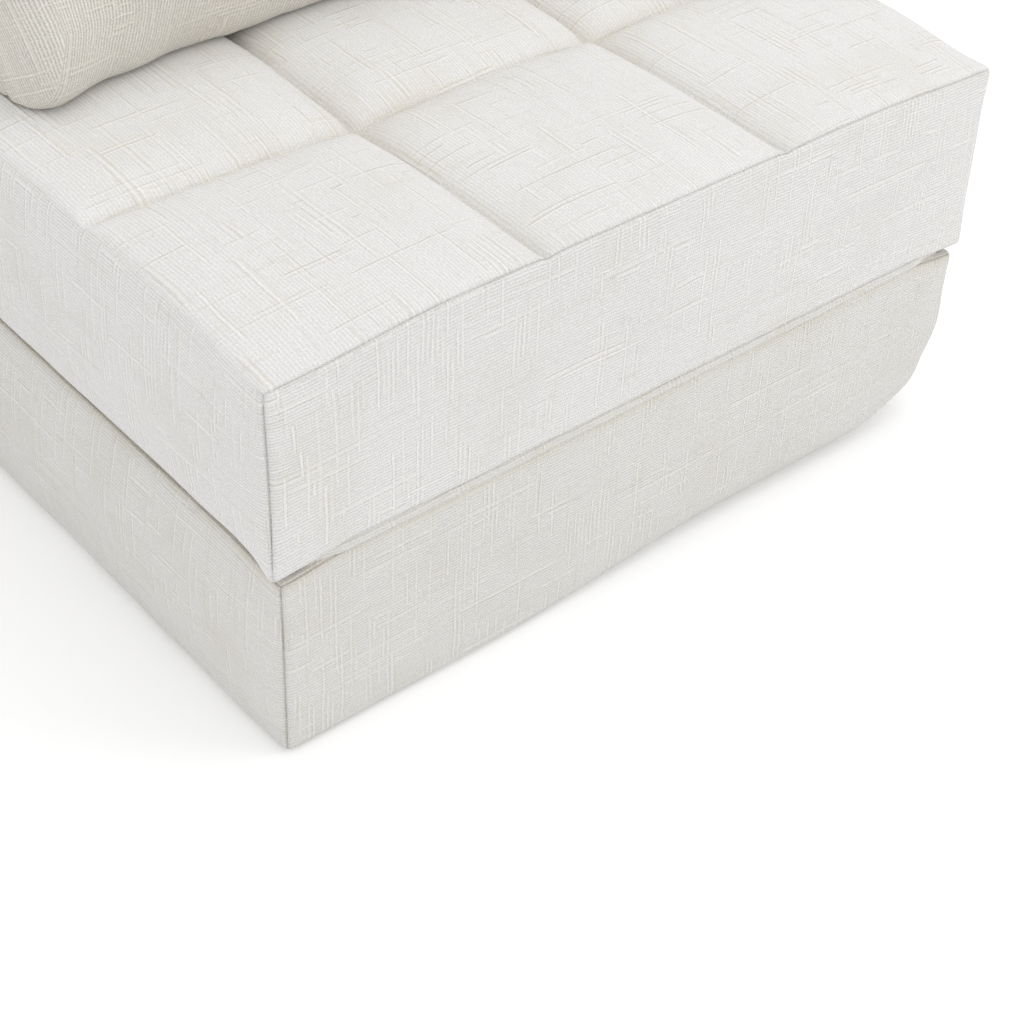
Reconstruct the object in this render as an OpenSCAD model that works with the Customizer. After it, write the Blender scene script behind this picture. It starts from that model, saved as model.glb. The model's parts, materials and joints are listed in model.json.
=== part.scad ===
// Folding sofa bed for one person: a base block on the floor, a tufted seat block that
// flips forward onto the floor, a backrest hinged at the rear edge, and a loose back cushion.
// Millimetres, +Z up. Origin: centre of the box on the floor. X is the width, the front faces -Y.

/* [Blocks] */
// Width of the sofa bed
sofa_w = 800; // [640:10:1100]
// Height of one foam block, from one resting plane to the next
layer_h = 200; // [170:5:240]
// Free gap between two blocks that rest on each other
layer_gap = 0.4; // [0.3:0.1:0.8]
// How far a side band swells out beyond its seams
band_bulge = 7; // [4:0.5:10]
// Thickness of a cover with its wadding, on the sides
cover_t = 20; // [18:1:28]
// Thickness of the base cover and backrest cover on top, with the wadding
block_top_t = 16; // [12:1:24]
// Thickness of a bottom panel
panel_t = 3; // [2:0.5:5]
// Radius of the turned seams round the underside of a block
low_edge_r = 8; // [5:1:11]
// Radius of the turned seams round the top of the base
base_edge_r = 12; // [8:1:16]
// Clearance between foam and cover
foam_gap = 0.5; // [0.3:0.1:1]

/* [Seat] */
// Depth of the front row of panels
front_panel_d = 256; // [220:2:300]
// Depth of the middle row of panels
panel_d = 242; // [210:2:290]
// Depth of the rear row of panels, under the cushion
rear_panel_d = 170; // [150:2:260]
// Free gap between the seat and the backrest
seat_back_gap = 4; // [3:0.5:10]
// Radius of the seam round the seat's top
seat_edge_r = 14; // [10:1:18]
// Height of the crown over the whole seat top
seat_crown = 5; // [2:0.5:8]
// Thickness of the quilted top of the seat cover
quilt_t = 26; // [22:1:34]
// Depth of a sewn channel where it is deepest
channel_depth = 13; // [8:0.5:16]
// Reach of a sewn channel to each side
channel_w = 17; // [12:1:24]
// Length over which a channel gets shallower away from a tuft
channel_fade_l = 110; // [70:5:150]
// Depth of a tuft below the crown
tuft_depth = 38; // [28:1:42]
// Reach of the dimple round a tuft
tuft_r = 40; // [30:1:48]
// Thickness of the soft foam layer under the quilt
comfort_t = 50; // [40:1:70]

/* [Tufting] */
// Radius of a tuft cord
cord_r = 1.5; // [1:0.1:2]
// Clearance round a tuft cord
cord_gap = 0.3; // [0.2:0.1:0.8]
// Length of the stitch that lies in a tuft
stitch_l = 14; // [10:1:16]
// Radius of the flat seat of that stitch
stitch_seat_r = 9; // [8:0.5:11]
// Radius of an anchor washer
washer_r = 14; // [10:1:20]
// Thickness of an anchor washer
washer_t = 2.5; // [2:0.5:4]
// Radius of the knot under a washer
knot_r = 4; // [3:0.5:6]
// Thickness of the knot under a washer
knot_t = 1.5; // [1:0.5:3]

/* [Backrest] */
// Depth of the backrest where it stands on the base
backrest_foot_d = 280; // [240:2:320]
// Height of the backrest above the base
backrest_h = 480; // [400:10:560]
// How far the front face leans back over the whole height
backrest_lean = 36; // [20:2:70]
// Radius of the backrest's upper edges
backrest_edge_r = 18; // [14:1:20]

/* [Back cushion] */
// Width of the cushion
cushion_w = 720; // [560:10:1000]
// Height of the cushion along its slope
cushion_h = 430; // [380:5:480]
// Thickness of the cushion at its middle
cushion_t = 236; // [200:4:252]
// Thickness of the cushion at its border
cushion_edge_t = 120; // [110:2:130]
// How far the cushion leans back, in degrees
cushion_lean = 28; // [15:1:30]
// How far the sides draw in between the corners
cushion_draw_in = 8; // [4:1:10]
// Thickness of the cushion's cover with its wadding
cushion_cover_t = 14; // [14:1:17]
// Free gap between the cushion and the backrest
cushion_back_gap = 3; // [2:0.5:6]
// Free gap between the cushion and the seat where it rests
cushion_seat_gap = 0.6; // [0.4:0.1:0.9]

/* [Hinge tapes] */
// Thickness of the folded fabric
tape_t = 1.4; // [1:0.1:2]
// Height of the strip that is sewn to the band
tape_sewn_h = 12; // [8:1:16]
// Height of the free fold beside the hinge line
tape_fold_h = 20; // [16:1:24]
// How deep the sewn strip sits behind the fullest part of the band
tape_seat_depth = 7.5; // [7:0.5:9]
// Length left free at each end of a tape
tape_end_gap = 24; // [18:1:40]
// How far the hinge line lies beyond the fullest part of the bands
hinge_reach = 0.4; // [0.3:0.1:1]

/* [Zips] */
// Length of the zip chain of a block
block_zip_l = 520; // [400:10:540]
// Length of the zip chain of the cushion
cushion_zip_l = 230; // [160:5:250]
// Height of a block's zip above its underside
zip_rise = 48; // [40:1:60]
// Width of the zip tape
zip_tape_w = 26; // [22:1:30]
// Thickness of the zip tape
zip_tape_t = 1; // [0.8:0.1:1.5]
// Width of the chain
chain_w = 5.6; // [5:0.2:7]
// Height of the chain above the tape
chain_h = 1.5; // [1.2:0.1:2]
// Depth of the zip's pocket behind the fullest part of the band
zip_recess = 8.5; // [8:0.5:9]
// Length of a slider
slider_l = 13; // [11:0.5:16]
// Width of a slider at its mouth
slider_w = 10.5; // [9.5:0.5:13]
// Length of a pull tab
pull_l = 28; // [22:1:34]
// Width of a pull tab
pull_w = 9; // [8:0.5:11]

/* [Hidden] */
$fn = 48;

// Overrun of every cut beyond the solid that it cuts
over = 2;

// Sizes that follow from the ones above
seat_d = front_panel_d + panel_d + rear_panel_d;
base_d = seat_d + seat_back_gap + backrest_foot_d;
front_y = -base_d / 2;
rear_y = base_d / 2;
side_x = sofa_w / 2;
base_top_z = layer_h - layer_gap / 2;
seat_low_z = layer_h + layer_gap / 2;
seat_top_z = 2 * layer_h;
backrest_front_y = rear_y - backrest_foot_d;
backrest_top_z = seat_low_z + backrest_h;

// Tuft columns as shares of the width, tuft rows by the panels
column_shares = [-1 / 6, 1 / 6];
columns = [for (s = column_shares) s * sofa_w];
rows = [front_y + front_panel_d, front_y + front_panel_d + panel_d];
tufts = [for (x = columns, y = rows) [x, y]];

// Share of a channel's depth that is left far from its tufts
channel_far_share = 0.5;
// Places of the lattice lines over a rounded edge, as shares of its radius
edge_shares = [0, 0.3, 1];
// Places of the lattice lines beside a channel, as shares of its reach
channel_shares = [-1.5, -0.6, 0, 0.6, 1.5];
// Places of the lattice lines across a panel, between its two borders
panel_shares = [0.33, 0.67];
// Power of the fade of a side band's swell towards its corners
band_power = 6;

// Sizes of the tufting below the quilt
dimple_top_r = tuft_r + channel_w / 2;
dimple_low_r = stitch_seat_r + cord_r;
dimple_h = tuft_depth - quilt_t + quilt_t / 2;
tuft_z = seat_top_z - tuft_depth;
quilt_low_z = seat_top_z - quilt_t;
comfort_low_z = quilt_low_z - foam_gap - comfort_t;
washer_gap = cord_gap;
washer_seat_h = knot_t + washer_t + washer_gap;
seat_floor_z = seat_low_z + panel_t;

// Sizes of the zips
pocket_side_gap = 2;
stop_l = 3;
stop_h = 0.5;
slide_gap = 0.3;
plate_t = 1.2;
flange_t = (slider_w - chain_w) / 2 - slide_gap;
plate_low = zip_tape_t + chain_h + slide_gap;
plate_top = plate_low + plate_t;
bar_r = 0.8;
eye_r = bar_r + slide_gap;
bridge_wall = 0.9;
bridge_w = 2.4;
bridge_l = 2 * (eye_r + 2 * bridge_wall);
eye_z = plate_top + eye_r;
pull_t = 2 * bar_r;
arm_w = 1.6;
arm_l = 5;
tape_margin = 10;
slider_nose_share = 0.72;
pull_recess_share = 0.3;

// Hinge lines
seat_hinge_y = front_y - hinge_reach;
back_hinge_y = rear_y + hinge_reach;

// Lattice solid
// A closed solid on a lattice of shares us, vs and ws. place(u, v, w) gives each point. The face at
// w = 1 is a grid. The face at w = 0 is a grid too, or a fan inside rings at the shares in insets.
function rim(i, j, nx, ny) =
    j == 0 ? i : i == nx ? nx + j : j == ny ? 2 * nx + ny - i : 2 * nx + 2 * ny - j;
function rim_cell(r, nx, ny) =
    r < nx ? [r, 0] : r < nx + ny ? [nx, r - nx]
    : r < 2 * nx + ny ? [2 * nx + ny - r, ny] : [0, 2 * nx + 2 * ny - r];
function on_rim(i, j, nx, ny) = i == 0 || j == 0 || i == nx || j == ny;
function lattice_points(us, vs, ws, place, insets) =
    let (nx = len(us) - 1, ny = len(vs) - 1, nz = len(ws) - 1, n = 2 * (nx + ny))
    concat(
        [for (s = insets, r = [0 : n - 1]) let (c = rim_cell(r, nx, ny))
            place(clamp(us[c[0]], s[0], 1 - s[0]), clamp(vs[c[1]], s[1], 1 - s[1]), ws[0])],
        [for (w = ws, r = [0 : n - 1]) let (c = rim_cell(r, nx, ny)) place(us[c[0]], vs[c[1]], w)],
        [for (j = [1 : ny - 1], i = [1 : nx - 1]) place(us[i], vs[j], ws[nz])],
        len(insets) > 0 ? [place(0.5, 0.5, ws[0])]
        : [for (j = [1 : ny - 1], i = [1 : nx - 1]) place(us[i], vs[j], ws[0])]
    );
function lattice_faces(nx, ny, nz, flat_low) =
    let (n = 2 * (nx + ny), inner = (nz + 1) * n, low = inner + (nx - 1) * (ny - 1),
        top = function (i, j) on_rim(i, j, nx, ny) ? nz * n + rim(i, j, nx, ny)
            : inner + (j - 1) * (nx - 1) + i - 1,
        foot = function (i, j) on_rim(i, j, nx, ny) ? rim(i, j, nx, ny)
            : low + (j - 1) * (nx - 1) + i - 1)
    concat(
        [for (k = [0 : nz - 1], r = [0 : n - 1], half = [0, 1])
            let (a = k * n + r, b = k * n + (r + 1) % n)
            half == 0 ? [a, a + n, b + n] : [a, b + n, b]],
        [for (j = [0 : ny - 1], i = [0 : nx - 1], half = [0, 1])
            half == 0 ? [top(i, j), top(i, j + 1), top(i + 1, j + 1)]
            : [top(i, j), top(i + 1, j + 1), top(i + 1, j)]],
        flat_low ? [for (r = [0 : n - 1]) [low, r, (r + 1) % n]]
        : [for (j = [0 : ny - 1], i = [0 : nx - 1], half = [0, 1])
            half == 0 ? [foot(i, j), foot(i + 1, j + 1), foot(i, j + 1)]
            : [foot(i, j), foot(i + 1, j), foot(i + 1, j + 1)]]
    );
module lattice_solid(us, vs, ws, place, insets = []) {
    polyhedron(
        points = lattice_points(us, vs, ws, place, insets),
        faces = lattice_faces(len(us) - 1, len(vs) - 1, len(ws) - 1 + len(insets), len(insets) > 0),
        convexity = 10
    );
}

// Shares along a side of length l with rounded edges of radius r and n plain steps between
function edge_steps(l, r, n) =
    concat(
        [for (s = edge_shares) s * r / l],
        [for (i = [1 : n - 1]) (r + (l - 2 * r) * i / n) / l],
        [for (k = [len(edge_shares) - 1 : -1 : 0]) 1 - edge_shares[k] * r / l]
    );
// Shares along a side of length l whose channels lie at the distances marks
function channel_steps(l, r, marks) =
    let (reach = channel_shares[len(channel_shares) - 1] * channel_w,
        starts = concat([r], [for (m = marks) m + reach]),
        ends = concat([for (m = marks) m - reach], [l - r]))
    concat(
        [for (s = edge_shares) s * r / l],
        [for (k = [0 : len(starts) - 1]) each concat(
            [for (s = panel_shares) (starts[k] + (ends[k] - starts[k]) * s) / l],
            k < len(marks) ? [for (s = channel_shares) (marks[k] + s * channel_w) / l] : []
        )],
        [for (k = [len(edge_shares) - 1 : -1 : 0]) 1 - edge_shares[k] * r / l]
    );

// Rings of the underside, from the flat inside to the seam
function low_rings(size) =
    [for (k = [len(edge_shares) - 1 : -1 : 1]) edge_shares[k] * low_edge_r * [1 / size[0], 1 / size[1]]];

// Rounding: a point on the box's surface moves onto edges and corners whose radius grows from
// low_edge_r at the underside to r at the top
function clamp(x, low, high) = min(max(x, low), high);
function rounded(p, size, r) =
    let (r_here = low_edge_r + (r - low_edge_r) * p[2] / size[2],
        q = [for (a = [0 : 2]) clamp(p[a], r_here, size[a] - r_here)],
        d = p - q)
    norm(d) == 0 ? p : q + d * r_here / norm(d);
// Swell of a side band at the shares along and up
function swell(along, up) = band_bulge * sin(180 * up) * (1 - pow(abs(2 * along - 1), band_power));
// A band block: box of seams from which the four side bands swell out
function band_point(u, v, w, size, r) =
    let (p = rounded([u * size[0], v * size[1], w * size[2]], size, r),
        out_x = (u == 0 ? -1 : u == 1 ? 1 : 0) * swell(v, w),
        out_y = (v == 0 ? -1 : v == 1 ? 1 : 0) * swell(u, w))
    p + [out_x, out_y, 0];

// Seat top
function nearest(x, marks) = min([for (m = marks) abs(x - m)]);
function bell(d, reach) = exp(-pow(d / reach, 2));
function channel_drop(across, along) =
    channel_depth * bell(across, channel_w)
    * (channel_far_share + (1 - channel_far_share) * bell(along, channel_fade_l));
function seat_drop(x, y) =
    let (dx = nearest(x, columns), dy = nearest(y, rows),
        channel = max(channel_drop(dx, dy), channel_drop(dy, dx)),
        tuft = (tuft_depth - seat_crown) * bell(norm([dx, dy]), tuft_r))
    pow(pow(channel, 3) + pow(tuft, 3), 1 / 3);
function seat_crown_at(u, v) =
    seat_crown * (1 - pow(2 * u - 1, 4)) * (1 - pow(2 * v - 1, 4));

// Boxes of seams: the swell of the bands brings them to the full size
base_size = [sofa_w - 2 * band_bulge, base_d - 2 * band_bulge, base_top_z - panel_t];
seat_size = [sofa_w - 2 * band_bulge, seat_d - 2 * band_bulge, seat_top_z - seat_crown - seat_floor_z];
backrest_size = [sofa_w - 2 * band_bulge, backrest_foot_d - 2 * band_bulge,
    backrest_top_z - seat_low_z - panel_t];
base_corner = [-base_size[0] / 2, -base_size[1] / 2, panel_t];
seat_corner = [-seat_size[0] / 2, front_y + band_bulge, seat_floor_z];
backrest_corner = [-backrest_size[0] / 2, backrest_front_y + band_bulge, seat_floor_z];

base_point = function (u, v, w) base_corner + band_point(u, v, w, base_size, base_edge_r);
seat_point = function (u, v, w)
    let (p = seat_corner + band_point(u, v, w, seat_size, seat_edge_r))
    w < 1 ? p : p + [0, 0, seat_crown_at(u, v) - (on_edge(u, v) ? 0 : seat_drop(p[0], p[1]))];
function on_edge(u, v) = u == 0 || u == 1 || v == 0 || v == 1;
backrest_point = function (u, v, w)
    let (p = band_point(u, v, w, backrest_size, backrest_edge_r),
        share = p[2] / backrest_size[2],
        back_share = p[1] / backrest_size[1])
    backrest_corner + p + [0, backrest_lean * share * (1 - back_share), 0];

// Cushion, lying flat in its own frame: X across, Y up its slope, Z towards its front
cushion_us = [0, 0.03, 0.1, 0.2, 0.35, 0.5, 0.65, 0.8, 0.9, 0.97, 1];
cushion_vs = [0, 0.05, 0.15, 0.3, 0.5, 0.7, 0.85, 0.95, 1];
cushion_ws = [0, 0.2, 0.5, 0.8, 1];
// Power of the crown: a lower value gives fuller borders
crown_power = 0.45;
cushion_edge_r = cushion_edge_t / 2;
// Share of the draw-in that is left on the side that the cushion stands on
low_draw_share = 0.1;
function cushion_place(inset) =
    function (u, v, w)
        let (side = 2 * w - 1,
            turn = (cushion_edge_r - inset) * (1 - sqrt(1 - side * side)),
            pull = inset + turn,
            half_w = cushion_w / 2 - pull - cushion_draw_in * sin(180 * v),
            draw_in = v < 0.5 ? cushion_draw_in * low_draw_share : cushion_draw_in,
            half_h = cushion_h / 2 - pull - draw_in * sin(180 * u),
            crown = pow(max(0, sin(180 * u) * sin(180 * v)), crown_power),
            half_t = (cushion_edge_t + (cushion_t - cushion_edge_t) * crown) / 2 - inset)
        [(2 * u - 1) * half_w, cushion_h / 2 + (2 * v - 1) * half_h, side * half_t];
// Where the leaning cushion's points lie, before it is moved to its place
function leaned(p) =
    [p[0], p[1] * sin(cushion_lean) - p[2] * cos(cushion_lean),
        p[1] * cos(cushion_lean) + p[2] * sin(cushion_lean)];
cushion_cloud = [for (p = lattice_points(cushion_us, cushion_vs, cushion_ws, cushion_place(0), []))
    leaned(p)];
cushion_rise = seat_top_z - min([for (p = cushion_cloud) p[2]]);
function backrest_face_y(z) =
    backrest_front_y + backrest_lean * (z - seat_floor_z) / backrest_size[2];
cushion_y = min([for (p = cushion_cloud)
    if (p[2] + cushion_rise < backrest_top_z) backrest_face_y(p[2] + cushion_rise) - p[1]]) - cushion_back_gap;
// The cushion sinks into the seat's channel until a point of its foot meets the seat top
foot_row_shares = [0, 1, 2];
foot_steps = [0 : 0.125 : 1];
cushion_foot = [for (j = foot_row_shares, k = [0 : len(cushion_ws) - 2], i = [0 : len(cushion_us) - 2],
    a = foot_steps, b = foot_steps)
    let (at = function (m, n) cushion_place(0)(cushion_us[i + m], cushion_vs[j], cushion_ws[k + n]),
        side = at(0, 0) * (1 - a) + at(1, 0) * a,
        front = at(0, 1) * (1 - a) + at(1, 1) * a)
    leaned(side * (1 - b) + front * b)];
function seat_surface_z(x, y) =
    let (u = (x - seat_corner[0]) / seat_size[0], v = (y - seat_corner[1]) / seat_size[1])
    seat_top_z - seat_crown + seat_crown_at(u, v) - seat_drop(x, y);
cushion_z = cushion_seat_gap + max([for (p = cushion_foot) seat_surface_z(p[0], p[1] + cushion_y) - p[2]]);
module in_cushion_frame() {
    translate([0, cushion_y, cushion_z]) rotate([90 - cushion_lean, 0, 0]) children();
}

// Covers
// Room inside a band block for its foam, open below
module block_room(corner, size, top_t, lean = 0) {
    room_t = cover_t - band_bulge;
    translate([0, 0, corner[2] - over])
        intersection() {
            translate([corner[0] + room_t, corner[1] + room_t, 0])
                cube([size[0] - 2 * room_t, size[1] - 2 * room_t, size[2] - top_t + over]);
            lean_prism(corner, size, lean);
        }
}
// Keeps a room or a foam behind the leaning front face
module lean_prism(corner, size, lean) {
    room_t = cover_t - band_bulge;
    low_y = corner[1] + room_t;
    rear = corner[1] + size[1] - room_t;
    rotate([90, 0, 90])
        translate([0, 0, corner[0] - over])
            linear_extrude(size[0] + 2 * over)
                polygon([
                    [low_y, -over],
                    [low_y + lean * (1 + over / size[2]), size[2] + over],
                    [rear + over, size[2] + over],
                    [rear + over, -over]
                ]);
}
module block_foam(corner, size, top_t, lean = 0) {
    room_t = cover_t - band_bulge + foam_gap;
    translate([0, 0, corner[2]])
        intersection() {
            translate([corner[0] + room_t, corner[1] + room_t, 0])
                cube([size[0] - 2 * room_t, size[1] - 2 * room_t, size[2] - top_t - foam_gap]);
            translate([0, foam_gap, 0]) lean_prism(corner, size, lean);
        }
}
// Bottom panel inside the turned seam, with rounded corners
module bottom_panel(corner, size, z) {
    r = low_edge_r;
    inner = [size[0] - 2 * r, size[1] - 2 * r];
    translate([corner[0] + r, corner[1] + r, z])
        linear_extrude(panel_t)
            union() {
                translate([r, 0]) square([inner[0] - 2 * r, inner[1]]);
                translate([0, r]) square([inner[0], inner[1] - 2 * r]);
                for (x = [r, inner[0] - r], y = [r, inner[1] - r])
                    translate([x, y]) circle(r);
            }
}

// Zips, in their own frame: X along the chain, Y across it, Z out of the fabric
module on_side(z, y_mid) {
    translate([side_x - zip_recess, y_mid, z]) rotate([90, 0, 90]) children();
}
module on_rear(z) {
    translate([0, rear_y - zip_recess, z]) rotate([90, 0, 180]) children();
}
module on_cushion_end() {
    in_cushion_frame()
        translate([cushion_w / 2 - cushion_draw_in - zip_recess, cushion_h / 2, 0])
            rotate([90, 0, 90]) rotate([0, 0, 180]) children();
}
// Room for the tape, with space at each end for the pull tab
module zip_pocket(l) {
    pocket_l = l + 2 * pull_l;
    pocket_w = zip_tape_w + 2 * pocket_side_gap;
    translate([-pocket_l / 2, -pocket_w / 2, 0]) cube([pocket_l, pocket_w, zip_recess + band_bulge + over]);
}
module zip_chain(l) {
    tape_l = l + 2 * tape_margin;
    union() {
        translate([-tape_l / 2, -zip_tape_w / 2, 0]) cube([tape_l, zip_tape_w, zip_tape_t]);
        translate([-l / 2, -chain_w / 2, 0]) cube([l, chain_w, zip_tape_t + chain_h]);
        for (side = [-1, 1])
            translate([side * (l - stop_l) / 2 - stop_l / 2, -chain_w / 2, 0])
                cube([stop_l, chain_w, zip_tape_t + chain_h + stop_h]);
    }
}
// Where a closed slider's middle lies along its chain
function slider_x(l) = l / 2 - stop_l - slider_l / 2 - slide_gap;
module zip_slider(l) {
    nose_w = slider_w * slider_nose_share;
    flange_low = zip_tape_t + slide_gap;
    translate([slider_x(l), 0, 0])
        difference() {
            union() {
                translate([0, 0, flange_low])
                    linear_extrude(plate_top - flange_low)
                        polygon([
                            [slider_l / 2, -slider_w / 2], [slider_l / 2, slider_w / 2],
                            [0, slider_w / 2], [-slider_l / 2, nose_w / 2],
                            [-slider_l / 2, -nose_w / 2], [0, -slider_w / 2]
                        ]);
                translate([-bridge_l / 2, -bridge_w / 2, flange_low])
                    cube([bridge_l, bridge_w, eye_z - flange_low]);
                translate([0, bridge_w / 2, eye_z])
                    rotate([90, 0, 0])
                        intersection() {
                            cylinder(r = bridge_l / 2, h = bridge_w);
                            translate([-bridge_l / 2, 0, 0]) cube([bridge_l, eye_r + bridge_wall, bridge_w]);
                        }
            }
            translate([-slider_l / 2 - over, -chain_w / 2 - slide_gap, 0])
                cube([slider_l + 2 * over, chain_w + 2 * slide_gap, plate_low]);
            translate([0, bridge_w / 2 + over, eye_z])
                rotate([90, 0, 0]) cylinder(r = eye_r, h = bridge_w + 2 * over);
        }
}
// A pull tab that lies along the chain, towards -X or, with way = 1, towards +X
module zip_pull(l, way = -1) {
    arm_y = bridge_w / 2 + slide_gap;
    tab_l = pull_l - arm_l - pull_w / 2;
    rim_t = pull_t * pull_recess_share;
    translate([slider_x(l), 0, eye_z])
        rotate([0, 0, way < 0 ? 0 : 180])
        difference() {
            union() {
                translate([0, arm_y + arm_w, 0]) rotate([90, 0, 0]) cylinder(r = bar_r, h = 2 * (arm_y + arm_w));
                for (side = [-1, 1])
                    translate([-arm_l, side * (arm_y + arm_w / 2) - arm_w / 2, -pull_t / 2])
                        cube([arm_l, arm_w, pull_t]);
                translate([-arm_l - tab_l, -pull_w / 2, -pull_t / 2]) cube([tab_l, pull_w, pull_t]);
                translate([-arm_l - tab_l, 0, -pull_t / 2]) cylinder(r = pull_w / 2, h = pull_t);
            }
            for (side = [-1, 1])
                translate([-arm_l - tab_l, -pull_w / 4, side * (pull_t - rim_t) - pull_t / 2])
                    cube([tab_l - arm_w, pull_w / 2, pull_t]);
        }
}

// Hinge tapes, drawn above the hinge line at the front; the others are its mirror images
module hinge_tape() {
    face_y = front_y + tape_seat_depth;
    top = tape_fold_h + tape_sewn_h;
    low = layer_gap / 2;
    translate([-side_x + band_bulge + tape_end_gap, 0, layer_h])
        rotate([90, 0, 90])
            linear_extrude(sofa_w - 2 * band_bulge - 2 * tape_end_gap)
                polygon([
                    [front_y, low], [front_y + 2 * tape_t, low],
                    [face_y, tape_fold_h], [face_y, top],
                    [face_y - tape_t, top], [face_y - tape_t, tape_fold_h],
                    [front_y, low + tape_t]
                ]);
}
module tape_pocket() {
    face_y = front_y + tape_seat_depth;
    translate([-side_x + band_bulge + tape_end_gap - pocket_side_gap, front_y - over, layer_h])
        rotate([90, 0, 90])
            linear_extrude(sofa_w - 2 * (band_bulge + tape_end_gap - pocket_side_gap))
                polygon([
                    [0, -over], [over + 2 * tape_t + layer_gap, -over],
                    [over + 2 * tape_t + layer_gap, layer_gap / 2],
                    [tape_seat_depth + over + layer_gap, tape_fold_h],
                    [tape_seat_depth + over, tape_fold_h],
                    [tape_seat_depth + over, tape_fold_h + tape_sewn_h + pocket_side_gap],
                    [0, tape_fold_h + tape_sewn_h + pocket_side_gap]
                ]);
}
module below_hinge() {
    translate([0, 0, layer_h]) mirror([0, 0, 1]) translate([0, 0, -layer_h]) children();
}
module at_rear() {
    mirror([0, 1, 0]) children();
}

// Base
module base_cover() {
    color("#ddd8cb")
        difference() {
            lattice_solid(edge_steps(base_size[0], base_edge_r, 5), edge_steps(base_size[1], base_edge_r, 6),
                edge_steps(base_size[2], base_edge_r, 3), base_point, low_rings(base_size));
            block_room(base_corner, base_size, block_top_t);
            on_side(zip_rise, 0) zip_pocket(block_zip_l);
            below_hinge() tape_pocket();
            at_rear() below_hinge() tape_pocket();
        }
}
module base_bottom_panel() {
    color("#55524d") bottom_panel(base_corner, base_size, 0);
}
module base_foam() {
    color("#f0ead0") block_foam(base_corner, base_size, block_top_t);
}
module base_zip() {
    color("#d8d2c2") on_side(zip_rise, 0) zip_chain(block_zip_l);
}
module base_zip_slider() {
    color("#b9b6ae") on_side(zip_rise, 0) zip_slider(block_zip_l);
}
module base_zip_pull() {
    color("#b9b6ae") on_side(zip_rise, 0) zip_pull(block_zip_l);
}
module base_seat_hinge_tape() {
    color("#d8d2c2") below_hinge() hinge_tape();
}
module base_back_hinge_tape() {
    color("#d8d2c2") at_rear() below_hinge() hinge_tape();
}

// Seat
seat_mid_y = front_y + seat_d / 2;
module tuft_dimples(grow) {
    for (t = tufts)
        translate([t[0], t[1], quilt_low_z - dimple_h])
            cylinder(r1 = dimple_low_r + grow, r2 = dimple_top_r + grow, h = dimple_h);
}
module at_tufts(z) {
    for (t = tufts) translate([t[0], t[1], z]) children();
}
module seat_cover() {
    color("#e9e5da")
        difference() {
            lattice_solid(
                channel_steps(seat_size[0], seat_edge_r, [for (x = columns) x - seat_corner[0]]),
                channel_steps(seat_size[1], seat_edge_r, [for (y = rows) y - seat_corner[1]]),
                edge_steps(seat_size[2], seat_edge_r, 3), seat_point, low_rings(seat_size));
            difference() {
                block_room(seat_corner, seat_size, quilt_t - seat_crown);
                tuft_dimples(0);
            }
            at_tufts(tuft_z) cylinder(r = stitch_seat_r, h = tuft_depth);
            at_tufts(quilt_low_z - dimple_h - over) cylinder(r = cord_r + cord_gap, h = tuft_depth);
            on_side(layer_h + zip_rise, seat_mid_y) zip_pocket(block_zip_l);
            tape_pocket();
        }
}
module seat_bottom_panel() {
    color("#e4dfd2") bottom_panel(seat_corner, seat_size, seat_low_z);
}
// Foam of the seat between two heights
module seat_foam_slice(low, high) {
    intersection() {
        block_foam(seat_corner, seat_size, quilt_t - seat_crown);
        translate([-sofa_w, -base_d, low]) cube([2 * sofa_w, 2 * base_d, high - low]);
    }
}
module seat_support_foam() {
    color("#f0ead0")
        difference() {
            seat_foam_slice(seat_floor_z, comfort_low_z);
            at_tufts(seat_floor_z - over) cylinder(r = cord_r + cord_gap, h = layer_h);
            at_tufts(seat_floor_z - over) cylinder(r = washer_r + washer_gap, h = washer_seat_h + over);
        }
}
module seat_comfort_foam() {
    color("#f6f2e2")
        difference() {
            seat_foam_slice(comfort_low_z, quilt_low_z);
            tuft_dimples(foam_gap);
            at_tufts(comfort_low_z - over) cylinder(r = cord_r + cord_gap, h = layer_h);
        }
}
module tuft_cords() {
    color("#d9d4c6")
        at_tufts(0)
            union() {
                translate([0, 0, seat_floor_z + knot_t / 2])
                    cylinder(r = cord_r, h = tuft_z + cord_r - seat_floor_z - knot_t / 2);
                translate([0, 0, seat_floor_z]) cylinder(r = knot_r, h = knot_t);
                translate([-stitch_l / 2, 0, tuft_z + cord_r]) rotate([0, 90, 0]) cylinder(r = cord_r, h = stitch_l);
                for (side = [-1, 1])
                    translate([side * stitch_l / 2, 0, tuft_z + cord_r]) sphere(r = cord_r);
            }
}
module tuft_washers() {
    color("#efeeea")
        at_tufts(seat_floor_z + knot_t)
            difference() {
                cylinder(r = washer_r, h = washer_t);
                translate([0, 0, -over]) cylinder(r = cord_r + cord_gap, h = washer_t + 2 * over);
            }
}
module seat_zip() {
    color("#d8d2c2") on_side(layer_h + zip_rise, seat_mid_y) zip_chain(block_zip_l);
}
module seat_zip_slider() {
    color("#b9b6ae") on_side(layer_h + zip_rise, seat_mid_y) zip_slider(block_zip_l);
}
module seat_zip_pull() {
    color("#b9b6ae") on_side(layer_h + zip_rise, seat_mid_y) zip_pull(block_zip_l);
}
module seat_hinge_tape() {
    color("#d8d2c2") hinge_tape();
}

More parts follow.
